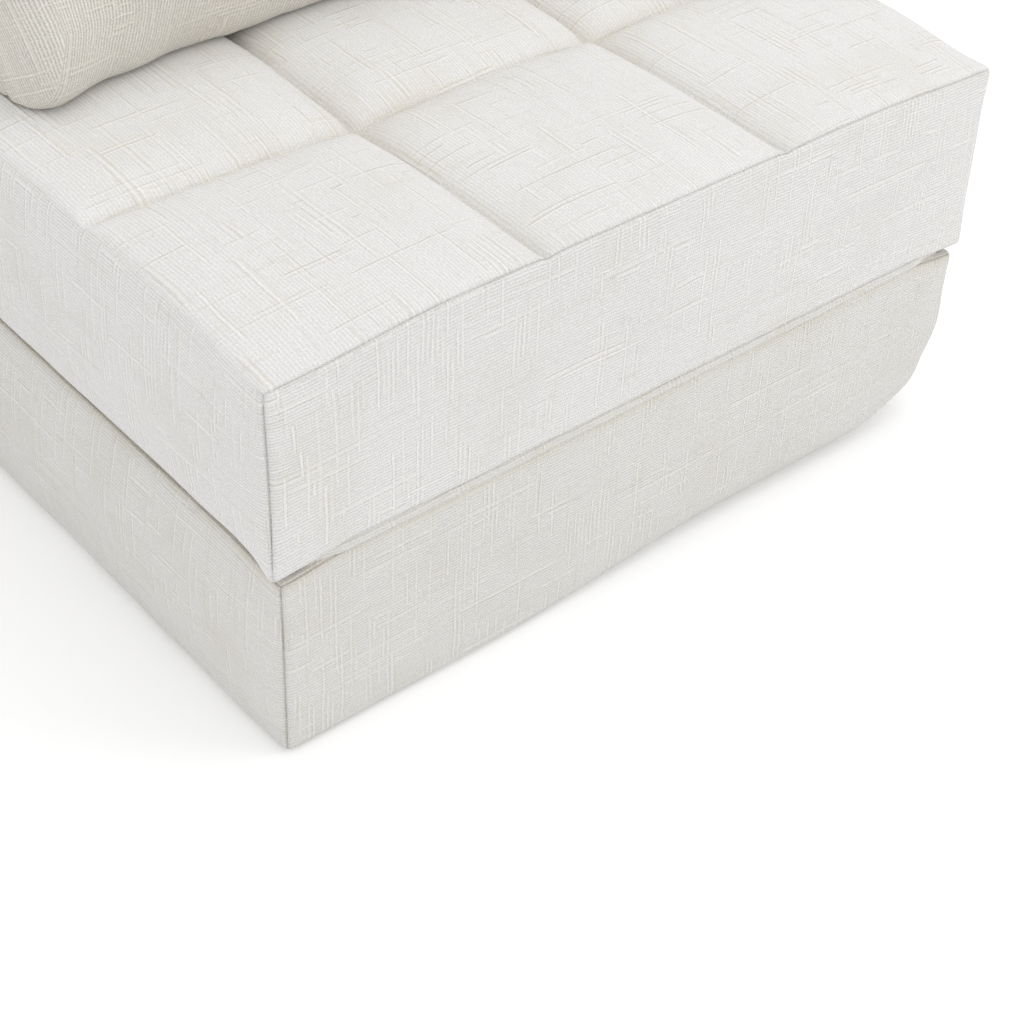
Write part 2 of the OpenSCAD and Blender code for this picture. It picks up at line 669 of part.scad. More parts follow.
// Backrest
module backrest_cover() {
    color("#ddd8cb")
        difference() {
            lattice_solid(edge_steps(backrest_size[0], backrest_edge_r, 5),
                edge_steps(backrest_size[1], backrest_edge_r, 2),
                edge_steps(backrest_size[2], backrest_edge_r, 5), backrest_point, low_rings(backrest_size));
            block_room(backrest_corner, backrest_size, block_top_t, backrest_lean);
            on_rear(layer_h + zip_rise) zip_pocket(block_zip_l);
            at_rear() tape_pocket();
        }
}
module backrest_bottom_panel() {
    color("#e4dfd2") bottom_panel(backrest_corner, backrest_size, seat_low_z);
}
module backrest_foam() {
    color("#f0ead0") block_foam(backrest_corner, backrest_size, block_top_t, backrest_lean);
}
module backrest_zip() {
    color("#d8d2c2") on_rear(layer_h + zip_rise) zip_chain(block_zip_l);
}
module backrest_zip_slider() {
    color("#b9b6ae") on_rear(layer_h + zip_rise) zip_slider(block_zip_l);
}
module backrest_zip_pull() {
    color("#b9b6ae") on_rear(layer_h + zip_rise) zip_pull(block_zip_l);
}
module backrest_hinge_tape() {
    color("#d8d2c2") at_rear() hinge_tape();
}

// Loose back cushion
module cushion_form(inset) {
    lattice_solid(cushion_us, cushion_vs, cushion_ws, cushion_place(inset));
}
module cushion_cover() {
    color("#dad6c9")
        difference() {
            in_cushion_frame()
                difference() {
                    cushion_form(0);
                    cushion_form(cushion_cover_t);
                }
            on_cushion_end() zip_pocket(cushion_zip_l);
        }
}
module cushion_fill() {
    color("#f7f5ee") in_cushion_frame() cushion_form(cushion_cover_t + foam_gap);
}
module cushion_zip() {
    color("#d8d2c2") on_cushion_end() zip_chain(cushion_zip_l);
}
module cushion_zip_slider() {
    color("#b9b6ae") on_cushion_end() zip_slider(cushion_zip_l);
}
module cushion_zip_pull() {
    color("#b9b6ae") on_cushion_end() zip_pull(cushion_zip_l, 1);
}

base_cover();
base_bottom_panel();
base_foam();
base_zip();
base_seat_hinge_tape();
base_back_hinge_tape();
base_zip_slider();
base_zip_pull();
seat_cover();
seat_bottom_panel();
seat_support_foam();
seat_comfort_foam();
tuft_cords();
tuft_washers();
seat_zip();
seat_hinge_tape();
seat_zip_slider();
seat_zip_pull();
backrest_cover();
backrest_bottom_panel();
backrest_foam();
backrest_zip();
backrest_hinge_tape();
backrest_zip_slider();
backrest_zip_pull();
cushion_cover();
cushion_fill();
cushion_zip();
cushion_zip_slider();
cushion_zip_pull();
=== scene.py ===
"""Folding sofa bed: fabric skins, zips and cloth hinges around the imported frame.

Metres, +Z up, the front faces -Y.
"""
import functools
import json
import math

import bmesh
import bpy
import numpy as np
from mathutils import Matrix, Vector
from mathutils.bvhtree import BVHTree


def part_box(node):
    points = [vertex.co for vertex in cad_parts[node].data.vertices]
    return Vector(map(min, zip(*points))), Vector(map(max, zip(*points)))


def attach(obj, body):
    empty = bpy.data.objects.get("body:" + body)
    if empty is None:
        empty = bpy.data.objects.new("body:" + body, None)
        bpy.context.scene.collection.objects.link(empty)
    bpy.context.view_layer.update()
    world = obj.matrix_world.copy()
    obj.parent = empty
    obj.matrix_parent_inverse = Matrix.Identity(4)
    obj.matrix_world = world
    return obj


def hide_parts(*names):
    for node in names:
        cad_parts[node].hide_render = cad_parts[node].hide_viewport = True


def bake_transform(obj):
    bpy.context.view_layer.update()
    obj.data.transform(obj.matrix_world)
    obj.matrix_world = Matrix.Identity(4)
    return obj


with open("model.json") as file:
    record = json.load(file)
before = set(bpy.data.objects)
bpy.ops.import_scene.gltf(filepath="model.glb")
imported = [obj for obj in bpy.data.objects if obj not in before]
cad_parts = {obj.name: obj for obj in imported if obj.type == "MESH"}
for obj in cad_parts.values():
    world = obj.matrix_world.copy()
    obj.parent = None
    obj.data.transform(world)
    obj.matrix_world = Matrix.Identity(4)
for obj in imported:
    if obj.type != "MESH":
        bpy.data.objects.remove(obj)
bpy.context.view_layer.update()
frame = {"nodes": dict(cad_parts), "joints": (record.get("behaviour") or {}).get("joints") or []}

# Sizes taken from the frame


def node_box(node):
    return [np.array(corner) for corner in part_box(node)]


SEAT_LOW, SEAT_HIGH = node_box("seat_cover")
BACK_LOW, BACK_HIGH = node_box("backrest_cover")
TUFT_LOW, TUFT_HIGH = node_box("tuft_cords")
JOINTS = {j["name"]: j for j in frame["joints"]}
HINGE_Y, LAYER_H = JOINTS["seat_flip"]["pos_m"][1:]
WIDTH = 0.8
HALF_W = WIDTH / 2
HINGE_GAP = 0.0004
FRONT_Y = HINGE_Y + HINGE_GAP
CORNER = np.array([-HALF_W, FRONT_Y, 0.0])
SEAT_TOP = SEAT_HIGH[2]
SEAT_COLUMNS = [-WIDTH / 6, WIDTH / 6]
KNOT_HALF = 0.004
SEAT_ROWS = [TUFT_LOW[1] + KNOT_HALF, TUFT_HIGH[1] - KNOT_HALF]

# Camera, fitted to the photograph: azimuth, elevation and roll in degrees, and its place in shares
# of the width, from the front left bottom corner

VIEW_DEGREES = (41.67, 40.54, -2.95)
FOCAL_PX = 2162.5
IMAGE_W_PX = 1024.0
SENSOR_MM = 36.0
CAMERA_SHARES = np.array([-0.8618, -1.3034, 1.6792])


def assign(owner, values):
    for key, value in values.items():
        setattr(owner, key, value)


def link(ob):
    bpy.context.scene.collection.objects.link(ob)
    return ob


def photo_camera():
    az, el, roll = map(math.radians, VIEW_DEGREES)
    forward = Vector((math.sin(az) * math.cos(el), math.cos(az) * math.cos(el), -math.sin(el)))
    right = forward.cross(Vector((0, 0, 1))).normalized()
    down = forward.cross(right)
    turn = Matrix.Rotation(roll, 3, forward)
    right, down = turn @ right, turn @ down
    data = bpy.data.cameras.new("photo_camera")
    data.sensor_width = SENSOR_MM
    data.lens = FOCAL_PX / IMAGE_W_PX * SENSOR_MM
    camera = link(bpy.data.objects.new("photo_camera", data))
    facing = Matrix((right, -down, -forward)).transposed().to_4x4()
    camera.matrix_world = Matrix.Translation(Vector(CORNER + CAMERA_SHARES * WIDTH)) @ facing
    bpy.context.scene.camera = camera


# Node graphs written as arithmetic


class Value:
    """One output of a node, which combines like a number."""

    def __init__(self, graph, socket):
        self.graph, self.socket = graph, socket

    def __rsub__(self, other):
        return self.graph.math("SUBTRACT", other, self)

    def __abs__(self):
        return self.graph.math("ABSOLUTE", self)


def operator(operation):
    return lambda a, b: a.graph.math(operation, a, b)


Value.__add__ = Value.__radd__ = operator("ADD")
Value.__sub__ = operator("SUBTRACT")
Value.__mul__ = Value.__rmul__ = operator("MULTIPLY")
Value.__truediv__ = operator("DIVIDE")


class Graph:
    """The shader nodes of a material or a world."""

    def __init__(self, owner, shader="Principled BSDF"):
        owner.use_nodes = True
        self.owner, self.tree = owner, owner.node_tree
        self.shader = self.tree.nodes[shader]

    def link(self, value, socket):
        if isinstance(value, Value):
            self.tree.links.new(value.socket, socket)
        else:
            socket.default_value = value

    def make(self, kind, inputs=(), output=0, **settings):
        """A new node with inputs set by place or name, as one of its outputs."""
        made = self.tree.nodes.new("ShaderNode" + kind)
        assign(made, settings)
        for key, value in inputs.items() if isinstance(inputs, dict) else enumerate(inputs):
            self.link(value, made.inputs[key])
        return Value(self, made.outputs[output])

    def math(self, operation, *values):
        return self.make("Math", values, operation=operation)

    def floor(self, value):
        return self.math("FLOOR", value)

    def most(self, a, b):
        return self.math("MAXIMUM", a, b)

    def cosine(self, turns):
        return self.math("COSINE", turns * (2 * math.pi))

    def ramp(self, value, low, high):
        """0 at low, 1 at high, smooth between."""
        return self.make("MapRange", (value, low, high, 0.0, 1.0), interpolation_type="SMOOTHSTEP")

    def pair(self, x, y, z=0.0):
        return self.make("CombineXYZ", (x, y, z))

    def noise(self, vector, scale, detail=2.0):
        return self.make("TexNoise", {"Vector": vector, "Scale": scale, "Detail": detail}, "Fac")

    def chance(self, x, y, seed):
        """A random number from 0 to 1 for each cell."""
        return self.make("TexWhiteNoise", {"Vector": self.pair(x, y, seed)}, "Value",
                         noise_dimensions="3D")

    def mix(self, factor, a, b):
        a, b = ((*c, 1) if isinstance(c, tuple) else c for c in (a, b))
        return self.make("Mix", {0: factor, 6: a, 7: b}, 2, data_type="RGBA")

    def bump(self, height, distance, strength=1.0):
        inputs = {"Height": height, "Distance": distance, "Strength": strength}
        return self.make("Bump", inputs, "Normal")

    def split(self, vector):
        parts = self.make("SeparateXYZ", (vector,)).socket.node.outputs
        return [Value(self, part) for part in parts]

    def attribute(self, name):
        return self.make("Attribute", output="Fac", attribute_name=name)

    def fabric_place(self):
        """Metres across the ribs and along them."""
        return self.split(self.make("UVMap", uv_map="fabric"))[:2]

    def object_place(self):
        return self.make("TexCoord", output="Object")

    def finish(self, colour, roughness, normal, **values):
        self.link(colour, self.shader.inputs["Base Color"])
        self.link(roughness, self.shader.inputs["Roughness"])
        self.link(normal, self.shader.inputs["Normal"])
        for key, value in values.items():
            self.shader.inputs[key.replace("_", " ")].default_value = value
        return self.owner


def material_graph(name):
    return Graph(bpy.data.materials.new(name))


def darker(colour, factor):
    return tuple(c * factor for c in colour)


def paler(colour, factor, lift):
    return tuple(min(1.0, c * factor + lift) for c in colour)


# Fabrics: lengths in metres on the fabric map, where each side of a skin has its own offset

MAP_OFFSET = np.array([1.37, 2.11])
TOP_MAP_REACH = 0.9
RIB_PITCH = 0.0032
KNIT_PITCH = 0.0023
SLUB_PITCH = 0.0056
SLUB_CELL = 0.135
CROSS_CELL = 0.125
LINE_CELL = 0.070
CROSS_LINE_CELL = 0.064
TONE_LENGTH = 0.11
PILE = (0.0032, 0.0022)
FIBRE = (0.0011, 0.0013)
SPECK = (0.0017, 0.0015)
LINEAR_BEIGE = (0.66, 0.60, 0.48)
WARM_BEIGE = (0.62, 0.56, 0.44)


def threads(g, across, along, pitch, cell, share, seed):
    """Threads in a share of the cells of each row, as their bodies and their flanks on one side. For the
    slubs the flank is a painted shadow beside the raised thread, partly beige yarn.
    """
    row = g.floor(across / pitch)
    place = across / pitch - row - 0.5
    run = along / cell + g.chance(row, 0.0, seed) * 9.7
    piece = g.floor(run)
    t = run - piece
    here = g.math("LESS_THAN", g.chance(row, piece, seed + 3.1), share)
    length = 0.30 + 0.66 * g.chance(row, piece, seed + 5.7)
    mask = here * (g.ramp(t, 0.0, 0.06) * (1.0 - g.ramp(t, length - 0.07, length)))
    mask = mask * (0.45 + 0.55 * g.chance(row, piece, seed + 8.3))
    body = mask * (1.0 - g.ramp(abs(place + 0.06), 0.16, 0.40))
    # Painted shadow: the flank darkens one side of each thread, whichever way the light falls.
    flank_shadow = mask * (g.ramp(place, 0.08, 0.26) * (1.0 - g.ramp(place, 0.42, 0.5)))
    return body, flank_shadow


def uneven(g, u, v):
    """The fabric place with a slow sway and a fine one."""
    place, turned, turned_fine = g.pair(u, v), g.pair(v, u, 4.0), g.pair(v, u, 9.0)
    sway = (g.noise(place, 14.0, 1.0) - 0.5) * 0.0044 + (g.noise(place, 110.0, 1.0) - 0.5) * 0.0013
    drift = (g.noise(turned, 13.0, 1.0) - 0.5) * 0.0048 + (g.noise(turned_fine, 110.0, 1.0) - 0.5) * 0.0014
    return u + sway, v + drift


def chenille(name, colour, beige=WARM_BEIGE, beige_share=1.3, seed=1.0, rib_depth=0.25, raised_share=0.62):
    """Soft ribs with painted shade in their valleys, pale slubs in both directions with a painted shadow
    beside them, thin beige threads, painted shade in the hollows, and a dotted seam line.
    """
    g = material_graph(name)
    u, v = g.fabric_place()
    place = g.pair(u, v)
    on_top = g.math("LESS_THAN", abs(v - MAP_OFFSET[1]), TOP_MAP_REACH)
    gather = g.most(g.cosine(u / RIB_PITCH), g.cosine(v / RIB_PITCH))
    # The second attribute is painted shade, stored per point: beige in the seat's tufts and channels and
    # along the base's top rim under the seat.
    seam, hollow = g.attribute("seam"), g.attribute("hollow")
    seam_line = g.ramp(seam, 0.84, 0.98) * (0.45 + gather * 0.55)
    seam_fold = g.ramp(seam, 0.25, 0.70) * (1.0 - g.ramp(seam, 0.80, 0.92)) * gather

    u, v = uneven(g, u, v)
    phase = u / RIB_PITCH
    rib = (0.5 * g.cosine(phase - 0.5)) * (1.0 - on_top * 0.45) + 0.5
    pile = g.noise(g.pair(u / PILE[0], v / PILE[1]), 1.0, 2.0)
    knit = g.cosine(v / KNIT_PITCH + (0.5 * g.floor(phase) + 1.3 * g.noise(place, 180.0, 1.0)))
    grain = pile * 0.65 + (0.18 + knit * 0.16)
    fine = g.noise(g.pair(u / FIBRE[0], v / FIBRE[1]), 1.0, 1.0)
    speck = g.noise(g.pair(u / SPECK[0], v / SPECK[1], 8.0), 1.0, 0.0)
    cloud = g.noise(place, 7.0, 3.0)
    warm = g.noise(g.pair(u, v, 5.0), 11.0, 2.0)
    rib_tone = g.chance(g.floor(phase), g.floor(v / TONE_LENGTH), seed + 90.0)

    thick = g.ramp(g.noise(g.pair(u * 40.0, v * 11.0, seed), 1.0, 1.0), 0.42, 0.62)
    thick_cross = g.ramp(g.noise(g.pair(v * 36.0, u * 13.0, seed + 7.0), 1.0, 1.0), 0.40, 0.60)
    slub_share = (0.13 + thick * 0.52) * (0.62 + on_top * 0.38)
    cross_share = (0.10 + thick_cross * 0.64) * (1.0 - on_top * 0.62)
    line_share = 0.05 * beige_share
    slub, flank_shadow = threads(g, u, v, SLUB_PITCH, SLUB_CELL, slub_share, seed)
    cross, cross_flank_shadow = threads(g, v, u, SLUB_PITCH * 0.86, CROSS_CELL, cross_share, seed + 20.0)
    line, _ = threads(g, u, v, RIB_PITCH * 0.72, LINE_CELL, line_share, seed + 40.0)
    cross_line, _ = threads(g, v, u, RIB_PITCH * 0.80, CROSS_LINE_CELL, line_share, seed + 60.0)
    raised = g.most(slub, cross)
    # Painted shadow beside the slubs, stronger on the top, together with the real thin beige threads.
    painted_shadow_and_beige_lines = g.most(g.most(flank_shadow, cross_flank_shadow) * (0.50 + on_top * 0.38), g.most(line, cross_line) * 0.60)
    painted_shadow_and_beige_lines = painted_shadow_and_beige_lines * (0.25 + g.noise(place, 38.0, 1.0) * 1.1)

    low, pale = darker(colour, 1 - rib_depth), paler(colour, 1.06, 0.01)
    # Painted shade: the valleys between the ribs take the darker low colour, with the pile and knit grain
    # mixed in.
    tone = g.mix(rib * 0.72 + grain * 0.52, low, colour)
    for amount, over in ((g.ramp(rib_tone, 0.55, 1.0) * 0.16, low), (g.ramp(cloud, 0.40, 0.78) * 0.16, low),
                         (g.ramp(fine, 0.36, 0.80) * 0.34, low), (g.ramp(speck, 0.54, 0.70) * 0.52, pale),
                         (g.ramp(warm, 0.46, 0.80) * (0.14 * beige_share), beige),
                         # pale slubs: pale yarn, partly a painted highlight; beside them the painted shadow
                         # in beige
                         (raised * (raised_share - on_top * 0.16), pale), (painted_shadow_and_beige_lines * 0.66, beige),
                         # painted shade in the hollows, in beige
                         (hollow * 0.42, beige), (seam_line * 0.26, darker(beige, 0.72))):
        tone = g.mix(amount, tone, over)
    height = rib * 0.42 + grain * 0.52 + raised * 0.90 + fine * 0.34 + (seam_fold * 0.35 - seam_line * 0.5)
    return g.finish(tone, 0.80 + fine * 0.15, g.bump(height, 0.0010, 0.8), Sheen_Weight=0.22,
                    Sheen_Roughness=0.5, Specular_IOR_Level=0.18)


def woven(name, colour, pitch, depth=0.0003, speckle=0.0):
    """Plain weave of flat threads, on the fabric map."""
    g = material_graph(name)
    u, v = g.fabric_place()
    a, b = u / pitch, v / pitch
    over = g.math("MODULO", g.floor(a) + g.floor(b), 2.0)
    warp, weft = (abs(g.math("SINE", w * math.pi)) for w in (a, b))
    height = over * warp + (1.0 - over) * weft
    worn = g.noise(g.pair(u, v), 60.0, 3.0)
    fluff = g.noise(g.pair(a, b), 0.9, 3.0)
    low = darker(colour, 0.72)
    tone = g.mix(height, low, colour)
    tone = g.mix(g.ramp(worn, 0.45, 0.8) * 0.25, tone, low)
    tone = g.mix(g.ramp(fluff, 0.62, 0.9) * speckle, tone, paler(colour, 1.25, 0.02))
    return g.finish(tone, 0.75 + worn * 0.2, g.bump(height, depth, 0.8), Sheen_Weight=0.1,
                    Specular_IOR_Level=0.2)


def brushed_metal(name, colour):
    g = material_graph(name)
    place = g.object_place()
    x, y, z = g.split(place)
    brush = g.noise(g.pair(x * 2600.0, y * 420.0, z * 2600.0), 1.0, 3.0)
    smear = g.noise(place, 160.0, 3.0)
    tone = g.mix(g.ramp(smear, 0.35, 0.75) * 0.5, colour, darker(colour, 0.80))
    return g.finish(tone, 0.24 + (brush * 0.12 + smear * 0.10), g.bump(brush, 0.00008, 0.5), Metallic=1.0)


def cast_plastic(name, colour):
    g = material_graph(name)
    place = g.object_place()
    grain = g.noise(place, 1500.0, 2.0)
    tone = g.mix(g.noise(place, 60.0, 2.0) * 0.5, colour, darker(colour, 0.88))
    return g.finish(tone, 0.38 + grain * 0.16, g.bump(grain, 0.00005, 0.4))


def twisted_cord(name, colour):
    g = material_graph(name)
    x, y, z = g.split(g.object_place())
    turn = abs(g.math("SINE", z * 1700.0 + (x + y) * 1400.0))
    fray = g.noise(g.pair(x, y, z), 900.0, 3.0)
    tone = g.mix(turn * 0.7 + fray * 0.3, darker(colour, 0.66), colour)
    return g.finish(tone, 0.7 + fray * 0.2, g.bump(turn + fray, 0.0003, 0.8), Sheen_Weight=0.15)


SEAT_FABRIC = chenille("seat_chenille", (0.875, 0.865, 0.855), LINEAR_BEIGE, 1.4)
BASE_FABRIC = chenille("base_chenille", (0.815, 0.803, 0.775), beige_share=1.6, seed=2.0)
CUSHION_FABRIC = chenille("cushion_chenille", (0.83, 0.80, 0.73), seed=3.0, rib_depth=0.46, raised_share=0.45)
HINGE_CLOTH = chenille("hinge_cloth", (0.80, 0.785, 0.75), seed=4.0, rib_depth=0.20)
PANEL_CLOTH = woven("bottom_cloth", (0.060, 0.058, 0.056), 0.0016, speckle=0.5)
ZIP_CLOTH = woven("zip_cloth", (0.72, 0.70, 0.64), 0.0007, 0.0002)
THREAD = twisted_cord("stitch_thread", (0.74, 0.71, 0.64))
ZIP_TEETH = cast_plastic("zip_teeth", (0.66, 0.63, 0.55))
ZIP_METAL = brushed_metal("zip_metal", (0.60, 0.59, 0.57))
WASHER = cast_plastic("washer_plastic", (0.72, 0.72, 0.70))
GRIP = cast_plastic("grip_rubber", (0.035, 0.035, 0.036))

# Closed skins on a lattice of stations along X, Y and Z

FABRIC_AXES = {"low": (0, 1), "top": (0, 1), "front": (2, 0), "rear": (2, 0), "left": (2, 1), "right": (2, 1)}
EDGE_STATIONS = np.array([0.0, 0.0010, 0.0026, 0.0055, 0.0095, 0.0150])
LINE_STATIONS = np.array([0.0014, 0.0034, 0.0070, 0.0125])
RIM_STATION = 0.003
LEAST_STEP = 0.0004
FAR_AWAY = 1e9


def make_mesh(name, points, faces, uv=None):
    mesh = bpy.data.meshes.new(name)
    mesh.from_pydata(np.asarray(points).tolist(), [], faces)
    if uv is not None:
        layer = mesh.uv_layers.new(name="fabric")
        layer.data.foreach_set("uv", np.asarray(uv, np.float32).reshape(-1))
    mesh.polygons.foreach_set("use_smooth", np.ones(len(faces), bool))
    return link(bpy.data.objects.new(name, mesh))


def lattice(xs, ys, zs, place, name):
    """A closed box-like mesh. place(raw points, outward signs) gives the final points."""
    nx, ny, nz = len(xs) - 1, len(ys) - 1, len(zs) - 1
    index, raw, out, faces, sides = {}, [], [], [], []

    def vertex(i, j, k):
        key = (i, j, k)
        if key not in index:
            index[key] = len(raw)
            raw.append((xs[i], ys[j], zs[k]))
            out.append((-(i == 0) + (i == nx), -(j == 0) + (j == ny), -(k == 0) + (k == nz)))
        return index[key]

    def quads(side, count_a, count_b, corner, flip):
        for b in range(count_b):
            for a in range(count_a):
                ring = [corner(a, b), corner(a + 1, b), corner(a + 1, b + 1), corner(a, b + 1)]
                faces.append([vertex(*c) for c in (ring[::-1] if flip else ring)])
                sides.append(list(FABRIC_AXES).index(side))

    quads("top", nx, ny, lambda a, b: (a, b, nz), False)
    quads("low", nx, ny, lambda a, b: (a, b, 0), True)
    quads("front", nx, nz, lambda a, b: (a, 0, b), False)
    quads("rear", nx, nz, lambda a, b: (a, ny, b), True)
    quads("left", ny, nz, lambda a, b: (0, a, b), True)
    quads("right", ny, nz, lambda a, b: (nx, a, b), False)
    raw, out, sides, corners = (np.array(v) for v in (raw, out, np.repeat(sides, 4), faces))
    uv = np.zeros((corners.size, 2), np.float32)
    for n, axes in enumerate(FABRIC_AXES.values()):
        uv[sides == n] = raw[corners.reshape(-1)[sides == n]][:, axes] + MAP_OFFSET * n
    return make_mesh(name, place(raw, out), faces, uv), raw, out


def stations(low, high, step, lines=(), rims=()):
    """Places along one side, close together at its ends, sewn lines and pocket rims."""
    fixed = list(low + EDGE_STATIONS) + list(high - EDGE_STATIONS)
    for m in lines:
        fixed += [m] + list(m + LINE_STATIONS) + list(m - LINE_STATIONS)
    for m in rims:
        fixed += [m - RIM_STATION, m, m + RIM_STATION]
    fixed = sorted(f for f in fixed if low <= f <= high)
    full = []
    for a, b in zip(fixed[:-1], fixed[1:]):
        count = max(1, round((b - a) / step))
        full += [a + (b - a) * n / count for n in range(count)]
    full = full + [fixed[-1]]
    return np.array([f for n, f in enumerate(full) if n == 0 or f - full[n - 1] > LEAST_STEP])


def bell(distance, reach):
    return np.exp(-(distance / reach) ** 2)


def step_up(value, low, high):
    t = np.clip((value - low) / (high - low), 0, 1)
    return t * t * (3 - 2 * t)


def step_down(value, low, high):
    return 1 - step_up(value, low, high)


def border_distance(raw, out, low, high):
    """How far each raw point lies from the nearest edge of its box."""
    gaps = np.minimum(raw - low, high - raw)
    gaps = np.where(np.abs(out) > 0, FAR_AWAY, gaps)
    return np.where((np.abs(out) > 0).sum(1) > 1, 0.0, gaps.min(1))


def rounded(raw, low, high, radius):
    """Raw box points moved onto a box with rounded edges, with the outward directions."""
    radius = np.broadcast_to(np.asarray(radius, float), (len(raw),))[:, None]
    core = np.clip(raw, low + radius, high - radius)
    d = raw - core
    n = np.linalg.norm(d, axis=1, keepdims=True)
    n = np.where(n == 0, 1, n)
    return core + d / n * radius, d / n


def share(raw, low, high):
    return (raw - low) / (high - low)


def ends(s):
    """0 in the middle of a side, 1 at both its ends."""
    return np.abs(2 * s - 1)


def turned_seam(distance):
    """Outward offset at a turned seam: a narrow crease between two soft lips."""
    return -0.0024 * bell(distance, 0.0011) + 0.0003 * bell(distance - 0.0040, 0.0024)


WAVE_COUNT = 7
SEAM_REACH = 0.010


def waves(points, scale, seed):
    """Slow unevenness of stuffed cloth: a sum of a few fixed waves, from -1 to 1."""
    rng = np.random.default_rng(seed)
    total = np.zeros(len(points))
    for _ in range(WAVE_COUNT):
        direction = rng.normal(size=3)
        direction /= np.linalg.norm(direction)
        reach = rng.uniform(0.7, 1.6) * scale
        total += np.sin(points @ direction * reach * 2 * math.pi + rng.uniform(0, 6.28))
    return total / WAVE_COUNT


def rolled(raw, out, low, high):
    """True near the left and right edges of a block, where the cloth rolls over without a seam."""
    near_x, _, near_z = (np.minimum(raw - low, high - raw) < SEAM_REACH).T
    return ((out[:, 2] != 0) & near_x) | ((out[:, 0] != 0) & near_z)


def swell(raw, out, low, high, amounts, power=6):
    """Outward swell of the bands: amounts gives metres for left, right, front and rear."""
    sx, sy, sz = share(raw, low, high).T
    left, right, front, rear = amounts
    x = np.where(out[:, 0] < 0, -left, np.where(out[:, 0] > 0, right, 0)) * (1 - ends(sy) ** power)
    y = np.where(out[:, 1] < 0, -front, np.where(out[:, 1] > 0, rear, 0)) * (1 - ends(sx) ** power)
    return np.stack([x, y, 0 * x], 1) * np.sin(np.pi * sz)[:, None]


def mark(ob, name, values):
    """Stores a number per point for the materials."""
    ob.data.attributes.new(name, "FLOAT", "POINT").data.foreach_set("value", np.asarray(values, np.float32))


def mark_seams(ob, distance, strength=1.0):
    """Stores how near each point is to a seam: 1 on it, 0 at SEAM_REACH and beyond."""
    mark(ob, "seam", np.clip(1 - distance / SEAM_REACH, 0, 1) * strength)


# Cloth

SETTLE_FRAMES = 20
PIN_GROUP = "pins"
STUFFED_CLOTH = {"quality": 4, "vertex_group_mass": PIN_GROUP, "use_pressure": True,
                 "uniform_pressure_force": 4.0, "shrink_min": -0.012, "bending_stiffness": 1.5,
                 "air_damping": 5.0}
KEPT_SHARE = 0.4
FRONT_SLACK = 0.0015


def co_of(ob):
    flat = np.empty(len(ob.data.vertices) * 3, np.float32)
    ob.data.vertices.foreach_get("co", flat)
    return flat.reshape(-1, 3).astype(float)


def set_co(ob, points):
    ob.data.vertices.foreach_set("co", np.asarray(points, np.float32).reshape(-1))
    ob.data.update()


def even_out(ob, field, rounds, held):
    """Values averaged over neighbouring vertices, where they are not held."""
    edge = np.empty(len(ob.data.edges) * 2, np.int32)
    ob.data.edges.foreach_get("vertices", edge)
    a, b = edge[0::2], edge[1::2]
    count = len(field)
    degree = (np.bincount(a, minlength=count) + np.bincount(b, minlength=count))[:, None]
    for _ in range(rounds):
        total = np.stack([np.bincount(a, field[b, c], count) + np.bincount(b, field[a, c], count)
                          for c in range(field.shape[1])], 1)
        smoother = KEPT_SHARE * field + (1 - KEPT_SHARE) * total / degree
        field = np.where(held[:, None], field, smoother)
    return field


def inflate(ob, pins, cap, even):
    """Cloth under pressure from inside, applied. Seams are pinned, and no point moves past its cap."""
    scene = bpy.context.scene
    group = ob.vertex_groups.new(name=PIN_GROUP)
    levels = np.round(pins, 1)
    for level in np.unique(levels[levels > 0]):
        group.add(np.nonzero(levels == level)[0].tolist(), float(level), "REPLACE")
    rest = co_of(ob)
    cloth = ob.modifiers.new("stuffing", "CLOTH")
    assign(cloth.settings, STUFFED_CLOTH)
    cloth.settings.effector_weights.gravity = 0.0
    cloth.point_cache.frame_start = 1
    cloth.point_cache.frame_end = SETTLE_FRAMES
    for f in range(1, SETTLE_FRAMES + 1):
        scene.frame_set(f)
    shaped = co_of(ob.evaluated_get(bpy.context.evaluated_depsgraph_get()))
    ob.modifiers.remove(cloth)
    ob.vertex_groups.remove(group)
    scene.frame_set(1)
    move = shaped - rest
    length = np.linalg.norm(move, axis=1, keepdims=True)
    cap = np.broadcast_to(np.asarray(cap, float), (len(rest),))[:, None]
    move = even_out(ob, move * cap / (cap + length), even, pins >= 1)
    set_co(ob, rest + move)


def final_mesh(ob, *modifiers):
    """Modifiers given as (kind, settings) applied to the mesh."""
    for kind, values in modifiers:
        assign(ob.modifiers.new(kind.lower(), kind), values)
    graph = bpy.context.evaluated_depsgraph_get()
    old, source = ob.data, ob.evaluated_get(graph)
    ob.data = bpy.data.meshes.new_from_object(source, preserve_all_data_layers=True, depsgraph=graph)
    ob.modifiers.clear()
    bpy.data.meshes.remove(old)
    ob.data.name = ob.name


SUBDIVISION = ("SUBSURF", {"levels": 1, "render_levels": 1})


def hold_front(ob):
    """Eases the front face back behind the seat hinge's line."""
    p = co_of(ob)
    start = FRONT_Y + FRONT_SLACK
    past = np.clip(start - p[:, 1], 0, None)
    p[:, 1] = np.where(past > 0, start - FRONT_SLACK * (1 - np.exp(-past / FRONT_SLACK)), p[:, 1])
    set_co(ob, p)


def dress(ob, material, body=None, replaced=()):
    """Material, replaced nodes and body of one piece."""
    ob.data.materials.append(material)
    if replaced:
        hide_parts(*replaced)
    if body:
        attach(ob, body)
    return ob


# Zip pockets on the blocks and the cushion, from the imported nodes

ZIP_HALF = 0.0100
POCKET_END = 0.0090
FLOOR_BEHIND = 0.0022
SUNK = 0.01


